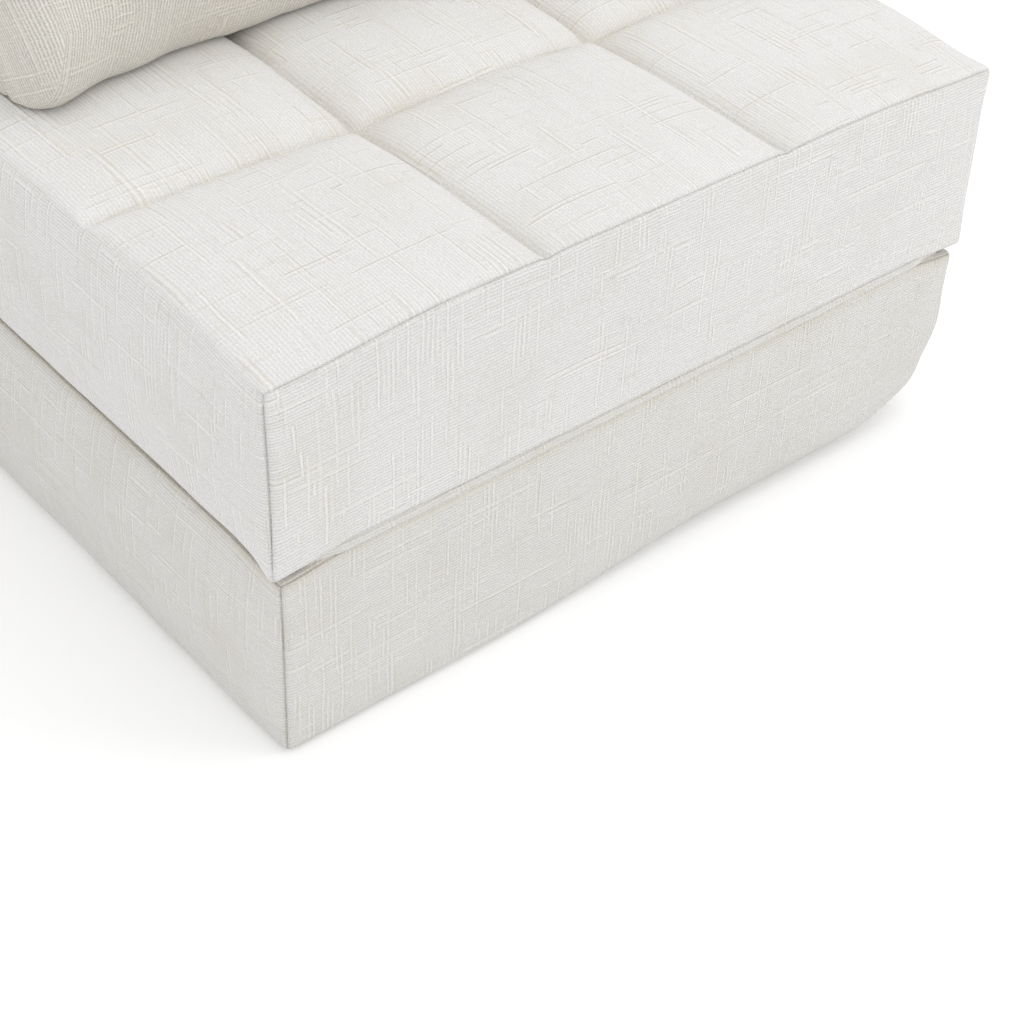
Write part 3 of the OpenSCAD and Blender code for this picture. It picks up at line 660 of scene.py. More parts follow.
def pocket_share(along, up, centre, half, mid_up):
    """1 in a zip's pocket, 0 outside it, smooth at its rim."""
    lengthwise = step_down(np.abs(along - centre), half - 0.003, half + 0.003)
    return lengthwise * step_down(np.abs(up - mid_up), ZIP_HALF - 0.0025, ZIP_HALF + 0.0035)


# Blocks

FACE_INSET = 0.0015
FACE_X = HALF_W - FACE_INSET
FACE_Y = FRONT_Y + FACE_INSET
SEAM_HELD = 0.005
FLOOR_PLAY = 0.0012
BAND_CAP = 0.0022
LOW_DROOP = 0.0070
LOW_REACH = 0.20


def side_share(sx, sy):
    """1 on the left and right sides, fading out towards the front corners."""
    return step_up(ends(sx), 0.93, 1.0) * step_up(sy, 0.0, 0.05)


def corner_share(sx, sy, reach):
    """1 at the vertical corners of a block and 0 towards the middle of its sides."""
    return step_up(ends(sx), 1 - reach, 1.0) * step_up(ends(sy), 1 - reach, 1.0)


def front_edges(sx, sy):
    """1 on the two upright edges at the front."""
    return step_up(ends(sx), 0.94, 1.0) * step_down(sy, 0.0, 0.04)


def on_bands(out, calm):
    """1 on the bands round a block, half of that where they are calm, and 0 on top and below."""
    return (out[:, 2] == 0) * np.where(calm, 0.5, 1)


def inside_of(raw, x_half, y_low, y_high):
    """How far each point lies inside a rectangle, seen from above."""
    return np.minimum(x_half - np.abs(raw[:, 0]), np.minimum(raw[:, 1] - y_low, y_high - raw[:, 1]))


def block(name, low, high, steps, axis, shape, columns=(), rows=()):
    """The skin of a block, with a pocket whose floor lies just behind its zip, on the side along +axis.

    shape(raw points, outward signs, distances from the nearest edge) gives its points. Returns the object,
    the raw points, signs and distances, and which points lie in the pocket.
    """
    along = 1 - axis
    zip_low, zip_high = node_box(name + "_zip")
    centre, middle = ((zip_low + zip_high) / 2)[[along, 2]]
    half = (zip_high[along] - zip_low[along]) / 2 + POCKET_END
    rims = {along: (centre - half, centre + half), 2: (middle - ZIP_HALF, middle + ZIP_HALF)}
    grid = [stations(low[n], high[n], steps[n], (columns, rows, ())[n], rims.get(n, ())) for n in range(3)]

    def sunk(raw, out):
        return pocket_share(raw[:, along], raw[:, 2], centre, half, middle) * (out[:, axis] > 0)

    def place(raw, out):
        p, amount = shape(raw, out, border_distance(raw, out, low, high)), sunk(raw, out)
        p[:, axis] = p[:, axis] * (1 - amount) + (zip_low[axis] - FLOOR_BEHIND) * amount
        return p

    ob, raw, out = lattice(*grid, place, name + "_skin")
    return ob, raw, out, border_distance(raw, out, low, high), sunk(raw, out) > SUNK


def stuff(ob, pins, cap):
    inflate(ob, pins, cap, 6)
    final_mesh(ob, SUBDIVISION)


# Seat: pillows stand up steeply ahead of a tuft, towards the front left corner, and slope down to it behind

PILLOW_LEAN = (-0.66, -0.75)
TUFT_DEPTH = 0.0185
TUFT_HELD = 0.008
CHANNEL_HELD = 0.0025
CROWN = 0.0030
DROOP = 0.0095
DROP_FADE = (-0.006, 0.014)
SEAT_STEPS = (0.0110, 0.0110, 0.0120)


def nearest_offset(value, lines):
    gaps = np.array([value - line for line in lines])
    return np.take_along_axis(gaps, np.abs(gaps).argmin(0)[None], 0)[0]


def seat_drop(x, y):
    """How far the top lies below its crown, at the sewn channels and the tufts, and how far those are."""
    x, y = nearest_offset(x, SEAT_COLUMNS), nearest_offset(y, SEAT_ROWS)
    dx, dy = (np.abs(o) * np.where(o < 0, 1.55, 0.88) for o in (x, y))

    def channel(across, along):
        wide = (0.0028 + 0.0072 * bell(along, 0.085)) * bell(across, 0.022)
        return wide + 0.0070 * bell(across, 0.0054)

    ditch = np.maximum(channel(dx, dy), channel(dy, dx))
    d = np.hypot(x, y)
    ahead = (x * PILLOW_LEAN[0] + y * PILLOW_LEAN[1]) / np.maximum(d, 1e-6)
    d = d * (1 + 1.3 * step_up(ahead, 0.0, 0.9))
    tuft = TUFT_DEPTH * (0.62 * bell(d, 0.034) + 0.38 * bell(d, 0.012))
    return (ditch ** 3 + tuft ** 3) ** (1 / 3), np.abs(x), np.abs(y)


def seat_skin():
    low = np.array([-FACE_X, FACE_Y, SEAT_LOW[2] + FLOOR_PLAY])
    high = np.array([FACE_X, SEAT_HIGH[1] - 0.0010, SEAT_TOP - 0.0020])

    def shape(raw, out, d):
        sx, sy, sz = share(raw, low, high).T
        front, foot, head = step_down(sy, 0.0, 0.04), step_down(sz, 0.0, 0.30), step_up(sz, 0.75, 1.0)
        upright = front_edges(sx, sy) * (1 - foot) * (1 - head)
        radius = 0.0075 + side_share(sx, sy) * (0.0085 * step_down(sz, 0.0, 0.5) + 0.0050 * head)
        p, n = rounded(raw, low, high, radius - 0.0032 * front * foot + 0.0050 * upright)
        seam = np.where(rolled(raw, out, low, high) & (sy > 0.01), 0.15, 1.0)
        seam = np.where(out[:, 2] < 0, 0.4, seam)
        p = p + n * (turned_seam(d) * seam)[:, None] + swell(raw, out, low, high, (0.003, 0.003, 0.001, 0.0))

        corner = corner_share(sx, sy, 0.42)
        near_left = step_up(0.22 - sx, 0.0, 0.2) * step_up(0.3 - sy, 0.0, 0.28)
        rim = np.where(out[:, 2] < 0, step_down(inside_of(raw, HALF_W, low[1], high[1]), 0.003, 0.013), 1.0)
        low_corner = corner_share(sx, sy, LOW_REACH) * step_down(sz, 0.0, 0.5) * rim
        p[:, 2] -= (corner * DROOP + 0.0050 * near_left) * step_up(sz, 0.2, 1.0) + LOW_DROOP * low_corner
        p[:, 1] += 0.0030 * corner * step_up(sz, 0.3, 1.0) * np.sign(0.5 - sy)

        crown = CROWN * (1 - ends(sx) ** 4) * (1 - ends(sy) ** 4)
        drop, _, _ = seat_drop(raw[:, 0], raw[:, 1])
        at_front = step_up(0.0, *DROP_FADE) * step_down(high[2] - raw[:, 2], 0.0, 0.022) * (out[:, 1] < 0)
        p[:, 2] += np.where(out[:, 2] > 0, crown - drop * step_up(d, *DROP_FADE), -drop * at_front)
        p[:, 0] += 0.0040 * step_up(sx, 0.90, 1.0) - 0.0070 * step_up(1 - sx, 0.90, 1.0)
        return p + n * (0.0012 * waves(p, 8.0, 11) * on_bands(out, out[:, 1] < 0))[:, None]

    ob, raw, out, d, pocket = block("seat", low, high, SEAT_STEPS, 0, shape, SEAT_COLUMNS, SEAT_ROWS)
    drop, dx, dy = seat_drop(raw[:, 0], raw[:, 1])
    channel, top = np.minimum(dx, dy), out[:, 2] > 0
    tight = (d < SEAM_HELD) | (top & (np.hypot(dx, dy) < TUFT_HELD)) | (out[:, 2] < 0) | pocket
    pins = np.where(tight, 1.0, np.where(top & (channel < CHANNEL_HELD), 0.9, 0.0))
    cap = np.where(out[:, 1] < 0, BAND_CAP, np.where(out[:, 1] > 0, 0.0015, np.where(top, 0.0075, 0.006)))
    distance = np.minimum(d, np.where(top, channel + 0.0012, 1.0))
    mark_seams(ob, distance, np.where(rolled(raw, out, low, high), 0.0, 1.0))
    # Painted shade: a beige tint by the depth of the channels and tufts on the top, fading near the edges.
    mark(ob, "hollow", np.where(top, np.clip(drop / 0.020, 0, 1) * step_up(d, 0.0, 0.05), 0))
    stuff(ob, pins, cap)
    hold_front(ob)
    return dress(ob, SEAT_FABRIC, "seat",
                 ("seat_cover", "seat_comfort_foam", "seat_support_foam"))


# Base and backrest

BLOCK_STEP = 0.0150
LIFTED_CORNER = np.array([-0.001, 0.004, 0.026])
BACK_LEAN = 0.036


def base_skin():
    low, high = np.array([-FACE_X, FACE_Y, 0.0006]), np.array([FACE_X, -FACE_Y, LAYER_H - 0.0004])

    def shape(raw, out, d):
        sx, sy, sz = share(raw, low, high).T
        front, head = step_down(sy, 0.0, 0.04), step_up(sz, 0.70, 1.0)
        front_low = step_down(sy, 0.03, 0.16) * step_down(sz, 0.15, 0.6)
        lifted = step_up(sx, 0.30, 0.64)
        upright = front_edges(sx, sy) * (1 - head) * step_up(sz, 0.0, 0.2)
        radius = 0.0080 + 0.026 * front_low * lifted + 0.0080 * side_share(sx, sy) * step_up(sz, 0.5, 1.0)
        p, n = rounded(raw, low, high, radius - 0.0036 * front * head + 0.0030 * upright * (1 - lifted))
        p = p + n * turned_seam(d)[:, None] + swell(raw, out, low, high, (0.010, 0.004, 0.001, 0.001))

        push = step_down(sy, 0.0, 0.22) * step_up(sx, 0.86, 1.02) * step_up(1 - sz, 0.30, 1.02)
        p += push[:, None] * LIFTED_CORNER
        p[:, 0] -= 0.0060 * step_down(sy, 0.0, 0.12) * step_up(sx, 0.92, 1.0) * step_up(sz, 0.2, 0.9)
        p[:, 2] -= LOW_DROOP * corner_share(sx, sy, LOW_REACH) * step_up(sz, 0.5, 1.0)
        raised = step_up(inside_of(raw, HALF_W, FRONT_Y, -FRONT_Y), 0.012, 0.030)
        p[:, 2] += np.where(out[:, 2] < 0, 0.0016 * raised, 0)
        return p + n * (0.0016 * waves(p, 7.0, 21) * on_bands(out, out[:, 1] != 0))[:, None]

    ob, raw, out, d, pocket = block("base", low, high, (BLOCK_STEP, BLOCK_STEP, 0.0125), 0, shape)
    pins = np.where((d < SEAM_HELD) | (out[:, 2] != 0) | pocket, 1.0, 0.0)
    mark_seams(ob, d)
    # Painted shade: a beige tint along the base's top rim, in the gap under the seat.
    top_rim = np.where(out[:, 2] > 0, d, high[2] - raw[:, 2])
    mark(ob, "hollow", 0.9 * step_down(top_rim, 0.0, 0.016))
    stuff(ob, pins, np.where(out[:, 1] != 0, BAND_CAP, 0.007))
    hold_front(ob)
    return dress(ob, BASE_FABRIC, "base", ("base_cover", "base_foam"))


def backrest_skin():
    low = np.array([-FACE_X, BACK_LOW[1] + 0.003, BACK_LOW[2] + FLOOR_PLAY])
    high = np.array([FACE_X, -FACE_Y, BACK_HIGH[2] - 0.001])

    def shape(raw, out, d):
        _, sy, sz = share(raw, low, high).T
        p, n = rounded(raw, low, high, 0.0085 + 0.008 * step_up(sz, 0.5, 1.0))
        p = p + n * turned_seam(d)[:, None] + swell(raw, out, low, high, (0.004, 0.004, 0.003, 0.001), 4)
        p[:, 1] += BACK_LEAN * sz * (1 - sy)
        free = np.where(out[:, 2] < 0, 0, np.where(out[:, 1] > 0, 0.5, 1))
        return p + n * (0.0018 * waves(p, 6.0, 31) * free)[:, None]

    ob, _, out, d, pocket = block("backrest", low, high, [BLOCK_STEP] * 3, 1, shape)
    pins = np.where((d < SEAM_HELD) | (out[:, 2] < 0) | pocket, 1.0, 0.0)
    mark_seams(ob, d)
    stuff(ob, pins, np.where(out[:, 1] > 0, BAND_CAP, np.where(out[:, 2] > 0, 0.006, 0.005)))
    return dress(ob, BASE_FABRIC, "backrest", ("backrest_cover", "backrest_foam"))


# Cushion: flat places have X across, Y up its slope and Z to its front

CUSHION_W = 0.720
CUSHION_H = 0.430
CUSHION_T = 0.236
CUSHION_EDGE_T = 0.120
CUSHION_DRAW = 0.008
CUSHION_CORNER = 0.026
CUSHION_STEP = 0.0125
CUSHION_CAP = 0.010
CUSHION_GAP = 0.0008
SLUMP = 0.005
SLOPE_UP = np.array(JOINTS["cushion_zip_slide"]["axis"])
SLOPE_OUT = np.array(JOINTS["cushion_pull_swing"]["axis"])
PULL_UP = 0.1098
CUSHION_FOOT = np.array([0.0, *(np.array(JOINTS["cushion_pull_swing"]["pos_m"]) - SLOPE_UP * PULL_UP)[1:]])
CUSHION_ZIP_X = node_box("cushion_zip")[0][0]
CUSHION_ZIP_UP = 0.215
CUSHION_ZIP_HALF = 0.145
FOOT_AHEAD = 0.027
FOOT_DOWN = 0.017
FOOT_ENDS = 1.15
FOOT_SINK = 0.0035
SOFT_LIMIT = 0.004
DEEPEST = -0.06
RAY_START = 0.5


def cushion_world(p):
    """From the flat cushion to its leaning place."""
    return CUSHION_FOOT + p[:, :1] * np.array([1.0, 0, 0]) + p[:, 1:2] * SLOPE_UP + p[:, 2:] * SLOPE_OUT


def cushion_flat(p):
    d = p - CUSHION_FOOT
    return np.stack([d[:, 0], d @ SLOPE_UP, d @ SLOPE_OUT], 1)


def run(line, start):
    """Distance along each row of points from the point numbered start."""
    steps = np.linalg.norm(np.diff(line, axis=0), axis=-1)
    total = np.concatenate([np.zeros((1,) + steps.shape[1:]), np.cumsum(steps, axis=0)])
    return total - total[start]


def follow(values, places, lengths):
    held = np.clip(values, places.min(), places.max())
    return np.interp(held, places, lengths) + values - held


def unroll(ob, raw, xs, ys, zs):
    """Fabric map measured along the surface, from the middle of the front face on over the bands."""
    p = co_of(ob)
    spot = np.stack([np.searchsorted(s, raw[:, n] - 1e-7) for n, s in enumerate((xs, ys, zs))], 1)
    nx, ny, nz = len(xs) - 1, len(ys) - 1, len(zs) - 1
    grid = np.full((nx + 1, ny + 1, nz + 1, 3), np.nan)
    grid[tuple(spot.T)] = p
    flat_grid = np.zeros((nx + 1, ny + 1, nz + 1, 2))
    flat_grid[tuple(spot.T)] = cushion_flat(p)[:, :2]

    def face(k):
        row, column = ny // 4, nx // 2
        u = follow(flat_grid[:, :, k, 0], flat_grid[:, row, k, 0], run(grid[:, :, k], nx // 2)[:, row])
        v = follow(flat_grid[:, :, k, 1], flat_grid[column, :, k, 1], run(grid[column, :, k], ny // 2))
        return u, v

    def fall(line, keep):
        """Distance from the front face's edge along a band, in two directions of the flat cushion."""
        flat_line = cushion_flat(line.reshape(-1, 3)).reshape(line.shape)[..., keep]
        return -run(flat_line.swapaxes(0, 1), nz).T

    (u1, v1), (u0, v0) = face(nz), face(0)
    foot, head = (fall(grid[:, j], [1, 2]) for j in (0, ny))
    left, right = (fall(grid[i], [0, 2]) for i in (0, nx))
    height = follow(flat_grid[..., 1], flat_grid[nx // 2, :, nz, 1], run(grid[nx // 2, :, nz], ny // 2))
    sides = np.repeat(np.arange(6), 4 * np.repeat([nx * ny, nx * nz, ny * nz], 2))
    loops = np.empty(len(ob.data.loops), np.int32)
    ob.data.loops.foreach_get("vertex_index", loops)
    i, j, k = spot[loops].T
    uv = np.zeros((len(loops), 2), np.float32)
    for side, (u, v) in enumerate(((u1[i, j], v1[i, j]), (u0[i, j] + 1.1, v0[i, j]),
                                   (u1[i, 0], v1[i, 0] - foot[i, k]), (u1[i, ny], v1[i, ny] + head[i, k]),
                                   (u1[0, j] - left[j, k], height[0, j, k]),
                                   (u1[nx, j] + right[j, k], height[nx, j, k]))):
        uv[sides == side] = np.stack([u, v], 1)[sides == side]
    ob.data.uv_layers["fabric"].data.foreach_set("uv", uv.reshape(-1))


def settle_foot(p):
    """The lower front sags forward over the foot and rests on the seat."""
    height = p[:, 2] - SEAT_TOP
    ahead = step_up(cushion_flat(p)[:, 2], -0.035, 0.045)
    reach = 1 + 0.08 * np.sin(p[:, 0] * 19.0 + 0.7) + 0.06 * np.sin(p[:, 0] * 43.0)
    reach += FOOT_ENDS * step_up(np.abs(p[:, 0]), 0.27, 0.355)
    p[:, 1] -= FOOT_AHEAD * ahead * reach * step_down(height, 0.03, 0.20)
    p[:, 2] -= FOOT_DOWN * ahead * bell(height - 0.012, 0.034)
    p[:, 2] = np.maximum(p[:, 2], SEAT_TOP - FOOT_SINK)
    return p


def surface_tree(ob):
    return BVHTree.FromPolygons([tuple(v) for v in co_of(ob)], [tuple(f.vertices) for f in ob.data.polygons])


def clear_of(points, tree, away):
    """Points that lie inside a neighbour, or within a soft limit of it, eased out along one direction."""
    away = Vector(away)
    moved = points.copy()
    for n, p in enumerate(points):
        hit, _, _, _ = tree.ray_cast(Vector(p) + away * RAY_START, -away)
        if hit is None:
            continue
        height = (Vector(p) - hit).dot(away) - CUSHION_GAP
        if DEEPEST < height < SOFT_LIMIT:
            eased = SOFT_LIMIT * math.exp((height - SOFT_LIMIT) / SOFT_LIMIT)
            moved[n] = p + np.array(away) * (eased - height)
    return moved


def cushion_shape(raw, low, high):
    """The flat cushion: two domed faces on a thick rim with rounded corners."""
    s = share(raw, low, high)
    side = 2 * s[:, 2] - 1
    turn = (CUSHION_EDGE_T / 2) * (1 - np.sqrt(np.clip(1 - side ** 2 * 0.985, 0, 1)))
    draw_v = np.where(s[:, 1] < 0.5, 0.1, 1.0)
    half_w = CUSHION_W / 2 - 0.62 * turn - CUSHION_DRAW * np.sin(np.pi * s[:, 1])
    half_h = CUSHION_H / 2 - turn - CUSHION_DRAW * draw_v * np.sin(np.pi * s[:, 0])
    crown = np.clip(np.sin(np.pi * s[:, 0]) * np.sin(np.pi * s[:, 1]), 0, 1) ** 0.45
    half_t = (CUSHION_EDGE_T + (CUSHION_T - CUSHION_EDGE_T) * crown) / 2
    a, b = (2 * s[:, 0] - 1) * half_w, (2 * s[:, 1] - 1) * half_h
    past_x = np.clip(np.abs(a) - (half_w - CUSHION_CORNER), 0, None)
    past_y = np.clip(np.abs(b) - (half_h - CUSHION_CORNER), 0, None)
    past = np.hypot(past_x, past_y)
    pull = 1 - np.where(past > 0, np.maximum(past_x, past_y) / np.maximum(past, 1e-9), 1)
    a = np.sign(a) * (np.abs(a) - past_x * pull)
    b = np.sign(b) * (np.abs(b) - past_y * pull)
    return np.stack([a, CUSHION_H / 2 + b, side * half_t], 1)


def pucker(flat, out, from_seam):
    """Offsets beside the seam round the edge: a crease, and small gathers next to it."""
    along = flat[:, 0] + flat[:, 1]
    gather = np.sin(along * 2 * math.pi / 0.017 + 2.0 * np.sin(along * 31.0))
    crease = bell(from_seam, 0.0014) * 0.0022 - bell(from_seam - 0.004, 0.003) * 0.0008
    inward = np.stack([np.sign(flat[:, 0]) * (out[:, 0] != 0), np.sign(out[:, 1]), 0 * along], 1)
    return inward * (0.0011 * gather * bell(from_seam - 0.009, 0.008) - crease)[:, None]


def cushion_skin(seat, backrest):
    high = np.array([CUSHION_W / 2, CUSHION_H, CUSHION_EDGE_T / 2])
    low = high * (-1, 0, -1)
    up_rims = [CUSHION_ZIP_UP - CUSHION_ZIP_HALF, CUSHION_ZIP_UP + CUSHION_ZIP_HALF]
    xs = stations(low[0], high[0], CUSHION_STEP)
    ys = stations(low[1], high[1], CUSHION_STEP, (), up_rims)
    zs = stations(low[2], high[2], CUSHION_STEP, [0.0], (-ZIP_HALF, ZIP_HALF))
    ob, raw, out = lattice(xs, ys, zs, lambda raw, out: cushion_shape(raw, low, high), "cushion_skin")
    from_seam = np.where(np.abs(out[:, :2]).sum(1) > 0, np.abs(raw[:, 2]), 1.0)
    amount = pocket_share(raw[:, 1], raw[:, 2], CUSHION_ZIP_UP, CUSHION_ZIP_HALF, 0.0) * (out[:, 0] > 0)
    flat = even_out(ob, co_of(ob), 26, (from_seam < 0.010) | (amount > SUNK))
    slump = bell(flat[:, 1] - 0.075, 0.085) * (1 - (np.abs(flat[:, 0]) / 0.40) ** 4)
    flat[:, 2] += SLUMP * slump * step_up(flat[:, 2], 0.02, 0.08)
    set_co(ob, cushion_world(flat + pucker(flat, out, from_seam)))
    inflate(ob, np.where((from_seam < 0.002) | (amount > SUNK), 1.0, 0.0), CUSHION_CAP, 3)

    p = cushion_flat(co_of(ob))
    p[:, 0] = p[:, 0] * (1 - amount) + (CUSHION_ZIP_X - FLOOR_BEHIND) * amount
    set_co(ob, settle_foot(cushion_world(p)))
    unroll(ob, raw, xs, ys, zs)
    mark_seams(ob, from_seam, 0.8)
    final_mesh(ob, SUBDIVISION)
    p = co_of(ob)
    below, behind = surface_tree(seat), surface_tree(backrest)
    for _ in range(2):
        p = clear_of(p, below, (0, 0, 1))
        p = clear_of(p, behind, (0, -1, 0))
    set_co(ob, p)
    return dress(ob, CUSHION_FABRIC, "cushion", ("cushion_cover", "cushion_fill"))


# Meshes made of rings of points


def band(start, size, count, closed=True):
    """Quads between count + 1 rings of equal size, whose points are numbered from start."""
    quads = []
    for first in range(start, start + count * size, size):
        for k in range(size if closed else size - 1):
            nxt = (k + 1) % size
            quads.append([first + k, first + nxt, first + size + nxt, first + size + k])
    return quads


def circle(count):
    return [(math.cos(k * math.tau / count), math.sin(k * math.tau / count)) for k in range(count)]


def face_outward(ob):
    bm = bmesh.new()
    bm.from_mesh(ob.data)
    bmesh.ops.recalc_face_normals(bm, faces=bm.faces)
    bm.to_mesh(ob.data)
    bm.free()


# Cloth hinges: the strip's lower half as distances behind the hinge line and below it

HINGE_HALF = 0.3740
HINGE_COLUMNS = 258
HINGE_T = 0.0012
HINGE_TUCK = 0.0085
HINGE_TUCK_REACH = 0.045
HINGE_BLEND = 0.004
HINGE_PROFILE = ((0.0074, 0.0300), (0.0074, 0.0200), (0.0074, 0.0110), (0.0064, 0.0066), (0.0026, 0.0045),
                 (0.0009, 0.0026), (0.0002, 0.0009))


def hinge_strip(name, y_sign, replaced):
    """A rolled strip of fabric between two blocks, round the line between them."""
    axis_y = -HINGE_Y * y_sign
    profile = [(axis_y - behind * y_sign, -below) for behind, below in HINGE_PROFILE]
    profile += [(y, -z) for y, z in profile[::-1]]
    xs = np.linspace(-HINGE_HALF, HINGE_HALF, HINGE_COLUMNS)
    drift = 0.0005 * np.sin(xs * 71.0) + 0.0004 * np.sin(xs * 190.0 + 1.0)
    tuck = HINGE_TUCK * step_down(HINGE_HALF - np.abs(xs), 0.0, HINGE_TUCK_REACH)
    along = np.concatenate([[0], np.cumsum(np.hypot(*np.diff(np.array(profile), axis=0).T))])
    points = []
    for x, bend, tucked in zip(xs, drift, tuck):
        for y, z in profile:
            near = bell(z, 0.006)
            points.append((x, y + (bend - 0.0004 - tucked) * near * y_sign, LAYER_H + z + bend * near * 0.8))
    size = len(profile)
    faces = band(0, size, HINGE_COLUMNS - 1, closed=False)
    if y_sign < 0:
        faces = [face[::-1] for face in faces]
    uv = [(along[n % size], xs[n // size]) for face in faces for n in face]
    ob = make_mesh(name, points, faces, uv)
    final_mesh(ob, ("SOLIDIFY", {"thickness": HINGE_T, "offset": -1.0}), SUBDIVISION)
    dress(ob, HINGE_CLOTH, None, replaced)
    start, end = ((0, axis_y, LAYER_H + z) for z in (-HINGE_BLEND, HINGE_BLEND))
    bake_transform(ob)
    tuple(start)
    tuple(end)


# Undersides

PANEL_STEP = 0.024
PANEL_INSET = 0.014
DOT_PITCH = 0.044
DOT_FIELD = (0.300, 0.360)
DOT_Z = 0.0013
DOT_SIDES = 10
DOT_RINGS = ((0.0038, 0.0), (0.0034, -0.0005), (0.0020, -0.0009))
DOT_TIP = -0.0010


def panel(body, x_half, y_low, y_high, z_low, z_high, material=BASE_FABRIC):
    """A sewn-in bottom panel: a thin sheet with a turned rim, a stitched border and a little slack."""
    low, high = np.array([-x_half, y_low, z_low]), np.array([x_half, y_high, z_high])

    def place(raw, out):
        p, _ = rounded(raw, low, high, (z_high - z_low) * 0.49)
        inside = inside_of(raw, x_half, y_low, y_high)
        slack = 0.0003 * waves(p, 5.0, 41) * step_up(inside, 0.010, 0.060)
        p[:, 2] -= np.where(out[:, 2] < 0, slack - 0.0006 * bell(inside - 0.0085, 0.0016), 0)
        return p

    xs, ys = (stations(low[n], high[n], PANEL_STEP) for n in (0, 1))
    ob, _, _ = lattice(xs, ys, np.linspace(z_low, z_high, 3), place, body + "_underside")
    final_mesh(ob, SUBDIVISION)
    return dress(ob, material, body, (body + "_bottom_panel",))


def grip_dots():
    """Rubber grip dots printed on the base's underside, in staggered rows."""
    columns, rows = (int(2 * half / DOT_PITCH) for half in DOT_FIELD)
    spokes = circle(DOT_SIDES)
    points, faces = [], []
    for j in range(rows + 1):
        for i in range(columns + (j % 2 == 0)):
            x, y = (i + 0.5 * (j % 2) - columns / 2) * DOT_PITCH, (j - rows / 2) * DOT_PITCH
            start = len(points)
            points += [(x + r * a, y + r * b, DOT_Z + z) for r, z in DOT_RINGS for a, b in spokes]
            last, tip = len(points) - DOT_SIDES, len(points)
            points.append((x, y, DOT_Z + DOT_TIP))
            faces += band(start, DOT_SIDES, len(DOT_RINGS) - 1)
            faces += [[last + k, last + (k + 1) % DOT_SIDES, tip] for k in range(DOT_SIDES)]
            faces.append(list(range(start, start + DOT_SIDES)))
    ob = make_mesh("base_grip_dots", points, faces)
    face_outward(ob)
    return dress(ob, GRIP, "base")


# Zips

TAPE_HALF = 0.0130
TAPE_T = 0.0009
TAPE_STEP = 0.006
TAPE_PROFILE = ((0.0009, 0.0), (0.0035, 0.0003), (0.0080, 0.0), (0.0118, 0.0001), (0.0124, 0.0005),
                (TAPE_HALF, 0.0002))
TOOTH_PITCH = 0.0021
TOOTH_L = 0.0040
TOOTH_R = 0.00085
TOOTH_SIDES = 6
TOOTH_RINGS = ((-0.30, 0.55), (-0.16, 1.0), (0.5, 0.85), (0.72, 0.6))
TEETH_END = 0.0280


def zip_piece(body, origin, along, across, outward, length):
    """Two woven tapes and two rows of interlocked teeth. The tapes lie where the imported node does."""
    origin, along, across, outward = (np.array(v, float) for v in (origin, along, across, outward))
    points, spots, faces, kinds = [], [], [], []

    def tube(rings, ring_spots, kind):
        """A closed tube through rings of points, with both ends capped."""
        start, size = len(points), len(rings[0])
        for ring, ring_spot in zip(rings, ring_spots):
            points.extend(ring)
            spots.extend(ring_spot)
        made = band(start, size, len(rings) - 1)
        made += [list(range(start, start + size)), list(range(len(points) - size, len(points)))]
        faces.extend(made)
        kinds.extend([kind] * len(made))

    outline = [(a, h + TAPE_T) for a, h in TAPE_PROFILE] + list(TAPE_PROFILE[::-1])
    count = int(length / TAPE_STEP)
    for side in (-1, 1):
        rings, ring_spots = [], []
        for i in range(count + 1):
            s = length * (i / count - 0.5)
            wobble = 0.0003 * math.sin(s * 83.0 + side) + 0.0002 * math.sin(s * 211.0)
            rings.append([origin + along * s + across * (side * a) + outward * (h + wobble * a / TAPE_HALF)
                          for a, h in outline])
            ring_spots.append([(a + 0.2 * side, s + length / 2) for a, _ in outline])
        tube(rings, ring_spots, 0)

    teeth = int((length - 2 * TEETH_END) / TOOTH_PITCH)
    spokes = [(along * a + outward * b) * TOOTH_R for a, b in circle(TOOTH_SIDES)]
    for n in range(teeth):
        side = -1 if n % 2 else 1
        centre = origin + along * ((n + 0.5 - teeth / 2) * TOOTH_PITCH) + outward * (TAPE_T + 0.0004)
        rings = [[centre + across * (side * t * TOOTH_L) + spoke * w for spoke in spokes]
                 for t, w in TOOTH_RINGS]
        tube(rings, [[(0.0, 0.0)] * TOOTH_SIDES] * len(rings), 1)
    ob = make_mesh(body + "_zip_cloth", points, faces, [spots[n] for face in faces for n in face])
    face_outward(ob)
    dress(ob, ZIP_CLOTH, body, (body + "_zip",))
    ob.data.materials.append(ZIP_TEETH)
    ob.data.polygons.foreach_set("material_index", np.array(kinds, np.int32))


def zips():
    for body, axis, along_axis in (("base", 0, 1), ("seat", 0, 1), ("backrest", 1, 0)):
        low, high = node_box(body + "_zip")
        origin = (low + high) / 2
        origin[axis] = low[axis]
        length = high[along_axis] - low[along_axis] - 0.001
        zip_piece(body, origin, np.eye(3)[along_axis], (0, 0, 1), np.eye(3)[axis], length)
    origin = cushion_world(np.array([[CUSHION_ZIP_X, CUSHION_ZIP_UP, 0.0]]))[0]
    zip_piece("cushion", origin, SLOPE_UP, SLOPE_OUT, (1, 0, 0), 2 * CUSHION_ZIP_HALF - 0.006)


# CAD nodes that stay


def finish_nodes():
    tufting = {"tuft_washers": WASHER, "tuft_cords": THREAD}
    for name, ob in frame["nodes"].items():
        material = ZIP_METAL if name.endswith(("_slider", "_pull")) else tufting.get(name)
        if material:
            ob.data.materials.clear()
            ob.data.materials.append(material)


# Floor and light

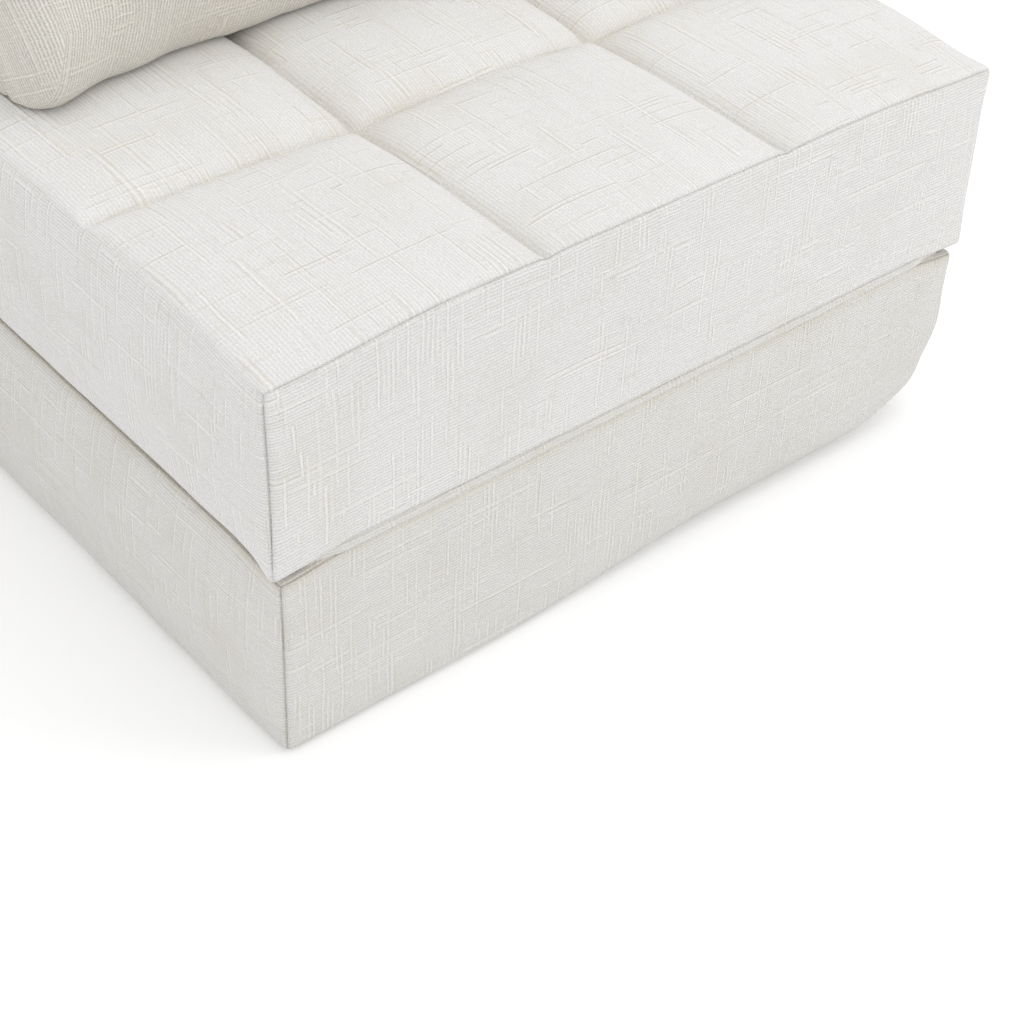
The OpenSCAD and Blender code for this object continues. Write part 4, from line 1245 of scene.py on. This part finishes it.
FLOOR_SIZE = 14.0
FLOOR_Z = -0.0003
FLOOR_GLOW = 0.16
WORLD_LIGHT = 0.76
WHITE = (1.0, 1.0, 1.0)
LAMP_AIM = Vector((0, 0, 0.3))
LAMPS = (("overhead", (0.5, -0.2, 3.4), 3.0, 27.0, WHITE),
         ("front_right", (2.6, -2.6, 1.8), 2.0, 28.5, (1.0, 0.99, 0.98)),
         ("left_fill", (-3.0, -1.2, 1.2), 2.0, 11.0, WHITE))


def seen_by(g, *kinds):
    """1 for the given kinds of ray, 0 for the others."""
    return functools.reduce(g.most, (g.make("LightPath", output=f"Is {kind} Ray") for kind in kinds))


def studio_floor():
    ring = [(x * FLOOR_SIZE, y * FLOOR_SIZE, 0) for x, y in ((-1, -1), (1, -1), (1, 1), (-1, 1))]
    floor = make_mesh("floor", ring, [(0, 1, 2, 3)])
    floor.location.z = FLOOR_Z
    g = material_graph("studio_floor")
    x, y, _ = g.split(g.object_place())
    far = g.ramp(g.math("SQRT", x * x + y * y), 0.9, 2.4)
    rays = seen_by(g, "Camera", "Glossy", "Transmission")
    g.shader.inputs["Base Color"].default_value = (0.93, 0.93, 0.93, 1)
    g.shader.inputs["Roughness"].default_value = 0.9
    glow = g.make("Emission", {"Strength": rays * FLOOR_GLOW})
    near = g.make("AddShader", (Value(g, g.shader.outputs[0]), glow))
    mixed = g.make("MixShader", (far * rays, near, g.make("Emission")))
    g.link(mixed, g.tree.nodes["Material Output"].inputs["Surface"])
    floor.data.materials.append(g.owner)


def studio_light():
    g = Graph(bpy.data.worlds.new("studio"), "Background")
    g.shader.inputs["Color"].default_value = (*WHITE, 1)
    level = g.make("MapRange", {0: seen_by(g, "Camera", "Glossy"), 3: WORLD_LIGHT, 4: 1.0})
    g.link(level, g.shader.inputs["Strength"])
    bpy.context.scene.world = g.owner
    for name, place, size, power, colour in LAMPS:
        data = bpy.data.lights.new(name, "AREA")
        data.shape = "RECTANGLE"
        data.size = data.size_y = size
        data.energy = power
        data.color = colour
        lamp = link(bpy.data.objects.new(name, data))
        lamp.location = place
        lamp.rotation_euler = (LAMP_AIM - Vector(place)).to_track_quat("-Z", "Y").to_euler()


photo_camera()
seat = seat_skin()
base_skin()
backrest = backrest_skin()
cushion_skin(seat, backrest)
hinge_strip("seat_hinge_strip", -1, ("base_seat_hinge_tape", "seat_hinge_tape"))
hinge_strip("back_hinge_strip", 1, ("base_back_hinge_tape", "backrest_hinge_tape"))
panel("base", HALF_W - 0.058, FRONT_Y + 0.088, -FRONT_Y - 0.030, 0.0012, 0.0034, PANEL_CLOTH)
grip_dots()
panel("seat", HALF_W - PANEL_INSET, FRONT_Y + PANEL_INSET, SEAT_HIGH[1] - PANEL_INSET,
      SEAT_LOW[2] + 0.0002, SEAT_LOW[2] + 0.0030)
panel("backrest", HALF_W - PANEL_INSET, BACK_LOW[1] + 0.018, -FRONT_Y - PANEL_INSET,
      BACK_LOW[2] + 0.0002, BACK_LOW[2] + 0.0030)
zips()
finish_nodes()
studio_floor()
studio_light()
bpy.context.scene.view_settings.view_transform = "Standard"
